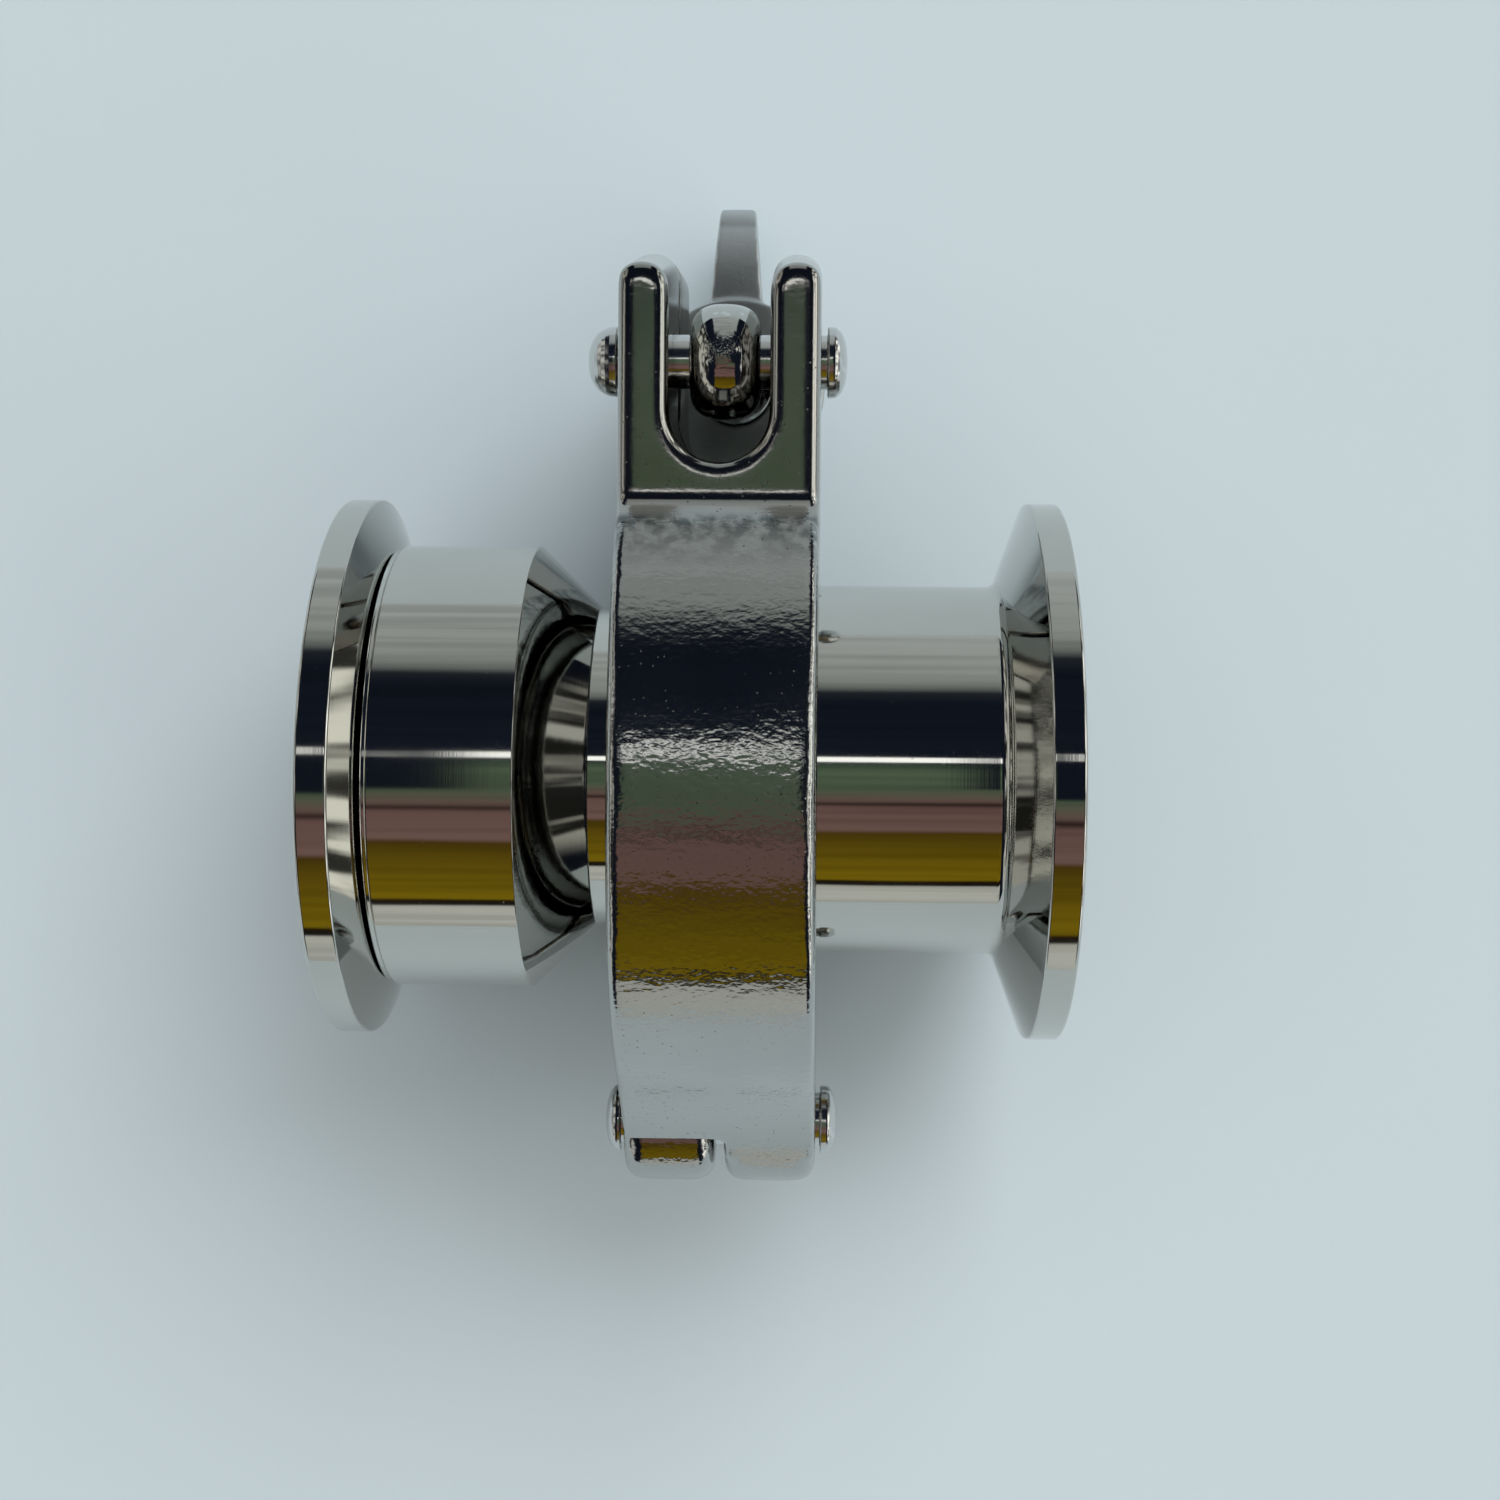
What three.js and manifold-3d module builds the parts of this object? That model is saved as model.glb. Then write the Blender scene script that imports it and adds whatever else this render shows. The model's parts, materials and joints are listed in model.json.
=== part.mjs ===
// Sanitary in-line check valve: two polished bodies with clamp ferrules, held together by a
// hinged two-piece clamp with a swing bolt and wing nut. Inside, a spring pulls a poppet with an
// O-ring on to a 45 degree seat. Millimetres, +X towards the inlet, +Z up, resting on Z = 0.
import * as THREE from 'three';
import { mergeVertices } from 'three/addons/utils/BufferGeometryUtils.js';
import Module from 'manifold-3d';

const wasm = await Module();
wasm.setup();

// ---- driving dimensions -------------------------------------------------------------------
const SIDES = 36;              // facets round the large turned parts
const PIN_SIDES = 20;          // facets round pins, bores and the swing bolt
const SLOPE = Math.tan(THREE.MathUtils.degToRad(20));   // back slope of every clamp flange

const FLANGE_R = 25.25;        // 50.5 mm clamp flange
const RIM = 2.85;              // rim thickness at the flange's edge
const BEAD_R = 21.75;          // radius of the gasket bead and its groove
const BEAD_DEPTH = 1.1;        // depth of the groove
const INLET_FACE = 31.3;       // outer face of the inlet ferrule
const OUTLET_FACE = -35.4;     // outer face of the outlet ferrule
const UNION_FACE = 0.9;        // centre union face, half the gasket thickness

const TUBE_R = 17.35;          // inlet tube, outside
const TUBE_BORE = 15.7;
const CHAMBER_R = 20.87;       // outlet chamber, outside
const CHAMBER_BORE = 19.1;
const CHAMBER_END = -17.5;     // where the chamber turns into the cone
const NECK_R = 15;
const NECK_BORE = 13.2;
const WELD = -30.3;            // weld plane between outlet ferrule and chamber
const WELD_STEP = 0.5;         // how far the weld line lies below the chamber
const CONE_WALL = 1.6;         // wall thickness across the cone

const CLAMP_R = 31.2;          // clamp ring, outside
const PIPE_Y = -10.45;         // pipe axis from the middle of the object's length in Y
const CLAMP_LIP = 22;          // clamp ring, inside of its two lips
const CLAMP_CREST = 8.6;       // half width of the casting where it is furthest from its hinge plane
const CLAMP_ROOT = 9.1;        // half width at the hinge plane: the casting has draft
const CLAMP_GAP = 0.3;         // clearance between clamp groove and flanges
const PARTING = 0.75;          // half of the gap between the two halves
const CLAMP_ROLL = THREE.MathUtils.degToRad(6);   // the fork is raised until ring and wing both touch

const FORK_FACE = 18.7;        // flat outer face of a fork
const FORK_TIP = 45.3;         // end of the front prongs at that face
const REAR_TIP = 49.3;         // the same for the rear prongs, which reach out past the nut's collar
const FORK_TIP_ROOT = 48.5;    // end of the prongs at the hinge plane
const SLOT_HALF = 4.4;         // half width of the slot
const SLOT_FLOOR = 28.3;       // bottom of the slot
const HINGE_Y = -33.9;         // hinge pin
const HINGE_PIN_R = 2.5;
const LUG_R = 5.75;
const LUG_GAP = 0.42;          // half of the gap between the two lugs
const LUG_RELIEF = 6.3;        // room round the other half's lug
const LUG_CORNER = 2;          // rounding of a lug's free corner, seen from above
const BORE_PLAY = 0.1;         // radial play of a turning bore on its pin

const FORK_PIN_Y = 37.66;
const FORK_PIN_Z = 9.5;
const FORK_PIN_R = 2.45;
const EYE_R = 5.25;
const EYE_HALF = 3.2;
const BOLT_X = 0.3;            // the bolt stands a little off the middle of its slot
const BOLT_R = 3.6;            // pitch radius of the bolt's M8 thread
const THREAD_START = 15;       // from the pin's axis to the thread; the neck is as thick as the eye
const BOLT_END = -33;
const NUT_FACE = -21.2;        // backed off until it clears the rear prong tips as the bolt swings out
const NUT_END = -31.4;
const NUT_R = 9.4;             // the nut's collar
const WING_ROOT = 3;           // distance from the bolt's axis to a wing's root inside the hub

const STEM_R = 3;
const STEM_PLAY = 0.07;
const DISC_BACK = -17.5;       // plane between poppet disc and retainer plate
const DISC_FRONT = -12.9;
const O_RING_R = 15.3;         // centre circle of the O-ring
const O_RING_X = -16.1;
const O_RING_SECTION = 1.3;
const HUB_END = 7;             // right end of the spider's hub
const SPRING_START = 8;
const SPRING_END = 19;
const SPRING_MEAN = 4.4;
const SPRING_WIRE = 0.45;
const SPRING_TURNS = 4.5;
const PLATE_BACK = -19.6;      // left face of the retainer plate
const STEM_START = -25.3;
const STEM_FINISH = 27.2;
const HUB_R = 5.6;             // spider's hub
const ARM = 3.6;               // length of a spider arm along the pipe
const NUT_THICK = 3.2;
const NUT_FLATS = 10;

// ---- small tools --------------------------------------------------------------------------
const steel = (color, roughness) => new THREE.MeshStandardMaterial({ color, roughness, metalness: 1 });
const rubber = (color) => new THREE.MeshStandardMaterial({ color, roughness: 0.6, metalness: 0 });

// Positions only, shared vertices, no thin triangles, faces pointing out.
function tidy(geometry) {
  const bare = new THREE.BufferGeometry();
  bare.setAttribute('position', geometry.attributes.position.clone());
  if (geometry.index) bare.setIndex(geometry.index.clone());
  const merged = mergeVertices(bare, 1e-4);
  const at = merged.attributes.position;
  const corner = [new THREE.Vector3(), new THREE.Vector3(), new THREE.Vector3()];
  const kept = [];
  let volume = 0;
  for (let i = 0; i < merged.index.count; i += 3) {
    const ids = [0, 1, 2].map((k) => merged.index.getX(i + k));
    if (ids[0] === ids[1] || ids[1] === ids[2] || ids[2] === ids[0]) continue;
    ids.forEach((id, k) => corner[k].fromBufferAttribute(at, id));
    volume += corner[0].dot(corner[1].clone().cross(corner[2]));
    kept.push(...ids);
  }
  merged.setIndex(volume < 0 ? kept.reverse() : kept);
  return merged;
}

function solid(geometry) {
  const clean = tidy(geometry);
  const vertProperties = new Float32Array(clean.attributes.position.array);
  const triVerts = new Uint32Array(clean.index.array);
  return new wasm.Manifold(new wasm.Mesh({ numProp: 3, vertProperties, triVerts }));
}

function surface(body) {
  const mesh = body.getMesh();
  const geometry = new THREE.BufferGeometry();
  geometry.setAttribute('position', new THREE.BufferAttribute(mesh.vertProperties, 3));
  geometry.setIndex(new THREE.BufferAttribute(mesh.triVerts, 1));
  return tidy(geometry);
}

// A closed outline of [x, radius] points turned about the X axis.
function turned(outline, sides = SIDES) {
  const points = outline.map(([x, r]) => new THREE.Vector2(r, x));
  const onAxis = points[0].x === 0 && points[points.length - 1].x === 0;
  if (!onAxis) points.push(points[0].clone());
  return new THREE.LatheGeometry(points, sides).rotateZ(-Math.PI / 2);
}

const tube = (x0, x1, outer, inner, sides) =>
  turned([[x0, inner], [x0, outer], [x1, outer], [x1, inner]], sides);
const rod = (x0, x1, radius, sides) => turned([[x0, 0], [x0, radius], [x1, radius], [x1, 0]], sides);

// A shape drawn in (Y, Z) and extruded along X from x0 to x1.
function alongX(shape, x0, x1, curveSegments = 12) {
  const plate = new THREE.ExtrudeGeometry(shape, { depth: x1 - x0, bevelEnabled: false, curveSegments });
  const toYZ = new THREE.Matrix4().makeBasis(
    new THREE.Vector3(0, 1, 0), new THREE.Vector3(0, 0, 1), new THREE.Vector3(1, 0, 0));
  return plate.applyMatrix4(toYZ).translate(x0, 0, 0);
}

const polygon = (points) => new THREE.Shape(points.map(([a, b]) => new THREE.Vector2(a, b)));

function mesh(name, geometry, material) {
  const piece = new THREE.Mesh(tidy(geometry), material);
  piece.name = name;
  return piece;
}

// ---- bodies -------------------------------------------------------------------------------
// Flange outline from the rim down to radius `foot`; `side` is +1 or -1, the way its back looks.
function flangeBack(face, side, foot) {
  const back = face + side * RIM;
  return [[face, FLANGE_R - 0.2], [face + side * 0.2, FLANGE_R], [back, FLANGE_R],
    [back + side * (FLANGE_R - foot) * SLOPE, foot]];
}

// Gasket groove in a flange face, listed from the outside in.
function beadGroove(face, side) {
  const floor = face + side * BEAD_DEPTH;
  return [[face, BEAD_R + 1.5], [floor, BEAD_R + 0.9], [floor, BEAD_R - 0.9], [face, BEAD_R - 1.5]];
}

function inletBody() {
  const seat = 4.9;            // depth of the counterbore that holds the spider
  return turned([
    ...flangeBack(UNION_FACE, 1, TUBE_R + 0.8), [7.4, TUBE_R],
    [24.8, TUBE_R],
    ...flangeBack(INLET_FACE, -1, TUBE_R + 0.8).reverse(),
    ...beadGroove(INLET_FACE, -1),
    [INLET_FACE, TUBE_BORE], [seat, TUBE_BORE], [seat, TUBE_BORE + 1.3], [UNION_FACE, TUBE_BORE + 1.3],
    ...beadGroove(UNION_FACE, 1).reverse(),
  ]);
}

function outletChamber() {
  const coneShift = CONE_WALL * Math.SQRT2;
  const innerLine = CHAMBER_END + CHAMBER_R - coneShift;     // x + radius along the seat
  return turned([
    [WELD, CHAMBER_R - WELD_STEP], [WELD + 0.35, CHAMBER_R], [CHAMBER_END, CHAMBER_R],
    [CHAMBER_END + CHAMBER_R - NECK_R, NECK_R], [-8.6, NECK_R],
    ...flangeBack(-UNION_FACE, -1, NECK_R + 1.2).reverse(),
    ...beadGroove(-UNION_FACE, -1),
    [-UNION_FACE, NECK_BORE], [innerLine - NECK_BORE, NECK_BORE],
    [innerLine - CHAMBER_BORE, CHAMBER_BORE], [WELD, CHAMBER_BORE],
  ]);
}

function outletFerrule() {
  return turned([
    ...flangeBack(OUTLET_FACE, 1, CHAMBER_R), [WELD, CHAMBER_R - WELD_STEP],
    [WELD, CHAMBER_BORE], [OUTLET_FACE, CHAMBER_BORE],
    ...beadGroove(OUTLET_FACE, 1).reverse(),
  ]);
}

function unionGasket() {
  const bead = UNION_FACE + 0.8;
  return turned([
    [-UNION_FACE, NECK_BORE + 0.3], [-UNION_FACE, BEAD_R - 1.1], [-bead, BEAD_R - 0.6],
    [-bead, BEAD_R + 0.6], [-UNION_FACE, BEAD_R + 1.1], [-UNION_FACE, FLANGE_R - 0.3],
    [UNION_FACE, FLANGE_R - 0.3], [UNION_FACE, BEAD_R + 1.1], [bead, BEAD_R + 0.6],
    [bead, BEAD_R - 0.6], [UNION_FACE, BEAD_R - 1.1], [UNION_FACE, NECK_BORE + 0.3],
  ]);
}

// ---- guide and poppet ---------------------------------------------------------------------
function guideSpider() {
  const start = UNION_FACE + 0.05;
  const ring = solid(tube(start, 4.7, TUBE_BORE + 1.1, TUBE_BORE - 1.3));
  const reach = TUBE_BORE - 0.4;
  let body = ring.add(solid(rod(start, HUB_END, HUB_R)));
  for (let arm = 0; arm < 3; arm += 1) {
    const plate = new THREE.BoxGeometry(ARM, reach, 2.2);
    plate.translate(start + 0.1 + ARM / 2, reach / 2, 0).rotateX((arm * 2 * Math.PI) / 3 + 0.3);
    body = body.add(solid(plate));
  }
  return surface(body.subtract(solid(rod(start - 1, HUB_END + 1, 4.05))));
}

const guideBush = () => turned([
  [UNION_FACE + 0.05, STEM_R + STEM_PLAY], [UNION_FACE + 0.05, 4], [HUB_END, 4], [HUB_END, 5.5],
  [SPRING_START, 5.5], [SPRING_START, STEM_R + STEM_PLAY],
], PIN_SIDES);

const poppetStem = () => turned([
  [STEM_START, 0], [STEM_START, STEM_R - 0.4], [STEM_START + 0.4, STEM_R], [DISC_FRONT, STEM_R],
  [DISC_FRONT, 5], [DISC_FRONT + 1.3, 5], [DISC_FRONT + 1.7, 4.6], [DISC_FRONT + 1.7, STEM_R],
  [STEM_FINISH - 0.4, STEM_R], [STEM_FINISH, STEM_R - 0.4], [STEM_FINISH, 0],
], PIN_SIDES);

const poppetDisc = () => turned([
  [DISC_BACK, STEM_R + STEM_PLAY], [DISC_BACK, 13.95], [-14.75, 13.95], [-14.75, 14.55],
  [-13.9, 14.3], [DISC_FRONT, 12.6], [DISC_FRONT, STEM_R + STEM_PLAY],
]);

function seatORing() {
  const section = [];
  for (let i = 0; i < 8; i += 1) {
    const turn = (i * Math.PI) / 4;
    section.push([O_RING_X + O_RING_SECTION * Math.sin(turn), O_RING_R + O_RING_SECTION * Math.cos(turn)]);
  }
  return turned(section);
}

const retainerPlate = () => turned([
  [PLATE_BACK, STEM_R + STEM_PLAY], [PLATE_BACK, 16.4], [PLATE_BACK + 0.4, 17.2],
  [DISC_BACK - 0.3, 17.2], [DISC_BACK, 16.9],
  [DISC_BACK, STEM_R + STEM_PLAY],
]);

function hexNut(x0, thick) {
  const outline = new THREE.Shape();
  const across = NUT_FLATS / Math.sqrt(3);
  outline.setFromPoints([0, 1, 2, 3, 4, 5].map((k) => new THREE.Vector2(
    across * Math.cos((k * Math.PI) / 3), across * Math.sin((k * Math.PI) / 3))));
  const bore = new THREE.Path();
  bore.absarc(0, 0, STEM_R + STEM_PLAY, 0, 2 * Math.PI, true);
  outline.holes.push(bore);
  return alongX(outline, x0, x0 + thick, PIN_SIDES);
}

// Closed round wire on a helix about X, with half a turn of flat coil at each end.
class Helix extends THREE.Curve {
  getPoint(t, target = new THREE.Vector3()) {
    const low = SPRING_START + SPRING_WIRE + 0.05;
    const high = SPRING_END - SPRING_WIRE - 0.05;
    const turn = 2 * Math.PI * SPRING_TURNS * t;
    const rise = THREE.MathUtils.clamp((t - 0.12) / 0.76, 0, 1);
    const x = low + (high - low) * rise;
    return target.set(x, SPRING_MEAN * Math.cos(turn), SPRING_MEAN * Math.sin(turn));
  }
}

function returnSpring() {
  const section = new THREE.Shape();
  section.setFromPoints([0, 1, 2, 3, 4, 5].map((k) => new THREE.Vector2(
    SPRING_WIRE * Math.cos((k * Math.PI) / 3), SPRING_WIRE * Math.sin((k * Math.PI) / 3))));
  return new THREE.ExtrudeGeometry(section, { steps: 64, bevelEnabled: false, extrudePath: new Helix() });
}

const springWasher = () => tube(SPRING_END, SPRING_END + 1, 5.4, STEM_R + STEM_PLAY, PIN_SIDES);

// ---- clamp, drawn with its hinge plane at Z = 0 ----------------------------------------------
// Outline of a half in (Y, Z): ring, fork and the hollow curve that runs into the lug.
function halfOutline(tip) {
  const outline = new THREE.Shape();
  const forkRoot = Math.sqrt(CLAMP_R ** 2 - FORK_FACE ** 2);
  const ringEnd = THREE.MathUtils.degToRad(150);     // where the ring runs into that curve
  outline.moveTo(0, PARTING);
  outline.lineTo(FORK_TIP_ROOT, PARTING);
  outline.lineTo(tip + 0.3, FORK_FACE - 1.4);
  outline.quadraticCurveTo(tip + 0.1, FORK_FACE, tip - 1.2, FORK_FACE);
  outline.lineTo(forkRoot, FORK_FACE);
  outline.absarc(0, 0, CLAMP_R, Math.asin(FORK_FACE / CLAMP_R), ringEnd, false);
  const lugStart = THREE.MathUtils.degToRad(118);
  outline.quadraticCurveTo(
    HINGE_Y + 2.4, 7.8,
    HINGE_Y + LUG_R * Math.cos(lugStart), LUG_R * Math.sin(lugStart));
  outline.absarc(HINGE_Y, 0, LUG_R, lugStart, Math.PI - Math.asin(PARTING / LUG_R), false);
  return outline;
}

// The room inside the clamp: the bore and the V groove that pulls the flanges together.
function clampHollow() {
  const slack = CLAMP_GAP;
  const floor = FLANGE_R + slack;
  const rim = UNION_FACE + RIM + slack / Math.cos(Math.atan(SLOPE));
  const lip = rim + (floor - CLAMP_LIP) * SLOPE;
  return turned([[-20, 0], [-20, CLAMP_LIP], [-lip, CLAMP_LIP], [-rim, floor], [rim, floor],
    [lip, CLAMP_LIP], [20, CLAMP_LIP], [20, 0]]);
}

// Wedge with the casting's draft: narrow at the crest, wide at the hinge plane.
function draftWedge() {
  const below = CLAMP_ROOT + (CLAMP_ROOT - CLAMP_CREST) * (LUG_R + 2) / CLAMP_R;
  const wedge = polygon([[-CLAMP_ROOT, 0], [-below, -LUG_R - 2], [below, -LUG_R - 2], [CLAMP_ROOT, 0],
    [CLAMP_CREST, CLAMP_R + 0.1], [-CLAMP_CREST, CLAMP_R + 0.1]]);
  const block = new THREE.ExtrudeGeometry(wedge, { depth: 110, bevelEnabled: false });
  return solid(block.rotateX(Math.PI / 2).translate(0, 60, 0));
}

// Seen from above, the casting ends at the hinge in rounded corners.
function planCutter() {
  const half = CLAMP_ROOT + 0.2;
  const end = HINGE_Y - LUG_R;
  const plan = new THREE.Shape();
  plan.moveTo(-half, 60);
  plan.lineTo(-half, end + LUG_CORNER);
  plan.quadraticCurveTo(-half, end, -half + LUG_CORNER, end);
  plan.lineTo(half - LUG_CORNER, end);
  plan.quadraticCurveTo(half, end, half, end + LUG_CORNER);
  plan.lineTo(half, 60);
  return solid(new THREE.ExtrudeGeometry(plan, { depth: 60, bevelEnabled: false, curveSegments: 4 })
    .translate(0, 0, -20));
}

function slotCutter() {
  const slot = new THREE.Shape();
  slot.absarc(0, SLOT_FLOOR + SLOT_HALF, SLOT_HALF, Math.PI, 2 * Math.PI, false);
  slot.lineTo(SLOT_HALF, 60);
  slot.lineTo(-SLOT_HALF, 60);
  const depth = FORK_FACE + 10;
  return solid(new THREE.ExtrudeGeometry(slot, { depth, bevelEnabled: false, curveSegments: 16 })
    .translate(0, 0, -2));
}

// The front half carries the bolt's pin; the rear half, turned half round about Y, has longer prongs.
function clampHalf(tip, withForkBore) {
  let body = solid(alongX(halfOutline(tip), -12, 12, 12));
  const lug = solid(rod(LUG_GAP, 12, LUG_R, SIDES).translate(0, HINGE_Y, 0));
  const relief = solid(rod(-12, LUG_GAP, LUG_RELIEF, SIDES).translate(0, HINGE_Y, 0));
  body = body.add(lug).intersect(draftWedge()).intersect(planCutter());
  body = body.subtract(relief).subtract(slotCutter());
  body = body.subtract(solid(clampHollow()));
  const hingeBore = rod(-12, 12, HINGE_PIN_R + BORE_PLAY, PIN_SIDES).translate(0, HINGE_Y, 0);
  body = body.subtract(solid(hingeBore));
  if (withForkBore) {
    const bore = rod(-12, 12, FORK_PIN_R + BORE_PLAY, PIN_SIDES).translate(0, FORK_PIN_Y, FORK_PIN_Z);
    body = body.subtract(solid(bore));
  }
  return surface(body);
}

const hingePin = () => turned([
  [-11, 0], [-11, 1.6], [-10.5, 2.7], [-9.9, 3.15], [-9.5, 3.15], [-9.5, HINGE_PIN_R],
  [9.5, HINGE_PIN_R], [9.5, 3.15], [10.5, 3.15], [11.1, 2.5], [11.1, 0],
], PIN_SIDES).translate(0, HINGE_Y, 0);

const swingBoltPin = () => turned([
  [-12.1, 0], [-12.1, 1.2], [-11.5, 2.4], [-10.6, 3.15], [-9.4, 3.15], [-9.4, FORK_PIN_R],
  [9.5, FORK_PIN_R], [9.5, 3.2], [10.7, 3.2], [11.3, 2.5], [11.3, 0],
], PIN_SIDES).translate(0, FORK_PIN_Y, FORK_PIN_Z);

function swingBolt() {
  const eye = turned([
    [-EYE_HALF, 0], [-EYE_HALF, 3.4], [-2.2, 4.7], [-0.9, EYE_R], [0.9, EYE_R], [2.2, 4.7],
    [EYE_HALF, 3.4], [EYE_HALF, 0]], PIN_SIDES);
  const length = FORK_PIN_Z - BOLT_END;
  const shank = turned([
    [0, 0], [0, EYE_HALF], [THREAD_START, EYE_HALF], [THREAD_START + 0.4, BOLT_R],
    [length - 0.8, BOLT_R], [length, BOLT_R - 0.8], [length, 0]], PIN_SIDES).rotateY(Math.PI / 2);
  const bore = rod(-2 * EYE_HALF, 2 * EYE_HALF, FORK_PIN_R + BORE_PLAY, PIN_SIDES);
  return surface(solid(eye).add(solid(shank)).subtract(solid(bore)))
    .translate(BOLT_X, FORK_PIN_Y, FORK_PIN_Z);
}

// Wing nut about the bolt's axis; `w` runs outwards along a wing, Z keeps the clamp's frame.
function wingNut() {
  const hub = new THREE.LatheGeometry([[0, NUT_FACE], [NUT_R, NUT_FACE], [NUT_R, NUT_FACE - 1.6],
    [6.8, NUT_FACE - 2.4], [5.8, NUT_END], [0, NUT_END]].map(([r, z]) => new THREE.Vector2(r, z)),
  PIN_SIDES).rotateX(Math.PI / 2);
  let body = solid(hub);
  const wing = new THREE.Shape();
  wing.moveTo(WING_ROOT, -21.8);
  wing.lineTo(9, -22.1);
  wing.quadraticCurveTo(14.5, -23.2, 17.6, -26.3);
  wing.quadraticCurveTo(20.2, -27.8, 19.9, -30.2);
  wing.quadraticCurveTo(19.8, -33.4, 17.4, -33.4);
  wing.quadraticCurveTo(14.2, -32.9, 11, -30.6);
  wing.lineTo(WING_ROOT, -30.6);
  const taper = polygon([[WING_ROOT, -3.3], [20.5, -1.8], [20.5, 1.8], [WING_ROOT, 3.3]]);
  const slab = new THREE.ExtrudeGeometry(taper, { depth: 16, bevelEnabled: false }).translate(0, 0, -35);
  const blade = alongX(wing, -5, 5, 6);
  for (const side of [0, Math.PI]) {
    const cut = slab.clone().rotateZ(Math.PI / 2 + side);
    body = body.add(solid(blade.clone().rotateZ(side)).intersect(solid(cut)));
  }
  const bore = new THREE.CylinderGeometry(BOLT_R + BORE_PLAY, BOLT_R + BORE_PLAY, 40, PIN_SIDES);
  body = body.subtract(solid(bore.rotateX(Math.PI / 2).translate(0, 0, NUT_FACE)));
  return surface(body).translate(BOLT_X, FORK_PIN_Y, 0);
}

// ---- assembly -----------------------------------------------------------------------------
const polished = 0xc9cdcf;
const cast = 0xb4b8b9;

const valve = new THREE.Group();
valve.position.set(-(INLET_FACE + OUTLET_FACE) / 2, PIPE_Y, CLAMP_R);

valve.add(
  mesh('outlet_ferrule', outletFerrule(), steel(polished, 0.08)),
  mesh('outlet_chamber', outletChamber(), steel(polished, 0.08)),
  mesh('inlet_body', inletBody(), steel(polished, 0.08)),
  mesh('union_gasket', unionGasket(), rubber(0xd9dad5)),
  mesh('guide_spider', guideSpider(), steel(cast, 0.3)),
  mesh('guide_bush', guideBush(), rubber(0xe8e6df)),
  mesh('poppet_stem', poppetStem(), steel(polished, 0.2)),
  mesh('poppet_disc', poppetDisc(), steel(polished, 0.2)),
  mesh('seat_o_ring', seatORing(), rubber(0x1d1d1f)),
  mesh('retainer_plate', retainerPlate(), steel(polished, 0.2)),
  mesh('retainer_nut', hexNut(PLATE_BACK - 1.5 * NUT_THICK, 1.5 * NUT_THICK), steel(cast, 0.3)),
  mesh('return_spring', returnSpring(), steel(0xa9acae, 0.3)),
  mesh('spring_washer_plate', springWasher(), steel(cast, 0.3)),
  mesh('stem_nut', hexNut(SPRING_END + 1, NUT_THICK), steel(cast, 0.3)),
  mesh('stem_lock_nut', hexNut(SPRING_END + 1 + NUT_THICK, NUT_THICK), steel(cast, 0.3)),
);

const clamp = new THREE.Group();
clamp.rotation.x = CLAMP_ROLL;
const rearHalf = mesh('clamp_half_rear', clampHalf(REAR_TIP, false), steel(cast, 0.15));
rearHalf.rotation.y = Math.PI;
clamp.add(
  mesh('clamp_half_front', clampHalf(FORK_TIP, true), steel(cast, 0.15)),
  rearHalf,
  mesh('hinge_pin', hingePin(), steel(cast, 0.2)),
  mesh('swing_bolt_pin', swingBoltPin(), steel(cast, 0.2)),
  mesh('swing_bolt', swingBolt(), steel(cast, 0.25)),
  mesh('wing_nut', wingNut(), steel(cast, 0.25)),
);
valve.add(clamp);

const object = new THREE.Group();
object.add(valve);

export default object;
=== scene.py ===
"""Looks of a sanitary in-line check valve: mirror-polished bodies, a cast hinged clamp with a
swing bolt and wing nut, and the spring-closed poppet inside. Shapes are drawn in millimetres in
the valve's own frame (X along the pipe, origin in the middle of the clamp) and placed in metres.
"""
import json
import math

import bmesh
import bpy
import numpy as np
from mathutils import Matrix, Vector


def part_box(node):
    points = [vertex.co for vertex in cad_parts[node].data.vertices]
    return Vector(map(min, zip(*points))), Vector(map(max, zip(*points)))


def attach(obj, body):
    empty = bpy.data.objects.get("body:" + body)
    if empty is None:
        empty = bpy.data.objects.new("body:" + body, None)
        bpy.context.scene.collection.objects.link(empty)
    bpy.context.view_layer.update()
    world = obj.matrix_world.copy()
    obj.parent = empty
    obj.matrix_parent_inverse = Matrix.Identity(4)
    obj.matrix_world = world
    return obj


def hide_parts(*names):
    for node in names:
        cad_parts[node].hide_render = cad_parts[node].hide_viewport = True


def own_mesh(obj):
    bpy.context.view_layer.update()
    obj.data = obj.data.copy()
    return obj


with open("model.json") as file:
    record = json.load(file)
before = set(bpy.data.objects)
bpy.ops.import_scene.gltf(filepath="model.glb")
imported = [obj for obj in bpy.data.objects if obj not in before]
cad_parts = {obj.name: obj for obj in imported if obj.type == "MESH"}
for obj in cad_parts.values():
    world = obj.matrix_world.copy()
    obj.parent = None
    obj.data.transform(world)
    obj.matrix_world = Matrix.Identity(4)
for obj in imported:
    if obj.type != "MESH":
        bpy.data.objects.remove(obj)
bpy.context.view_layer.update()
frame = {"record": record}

MM = 0.001
AROUND = 192            # steps round a large turned piece
AROUND_SMALL = 96       # steps round pins, nuts and the stem
SLOPE = math.tan(math.radians(20))
PANEL_LIGHT = 1.7       # brightness of the studio's side panels
SENSOR, LENS, LENS_SHIFT = 36.0, 50.4, -0.0867
VIEW_POINT = (6.68, 0.0, 201.1)             # the camera, in millimetres from the clamp's middle
VIEW_TURNS = (-0.0698, -0.0211, -0.0080)    # how it is turned about X, Y and Z, in radians
BORE_PLAY = 0.1
THREAD_PITCH, THREAD_CREST = 1.25, 0.25     # the crest stands out past the pitch radius

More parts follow.
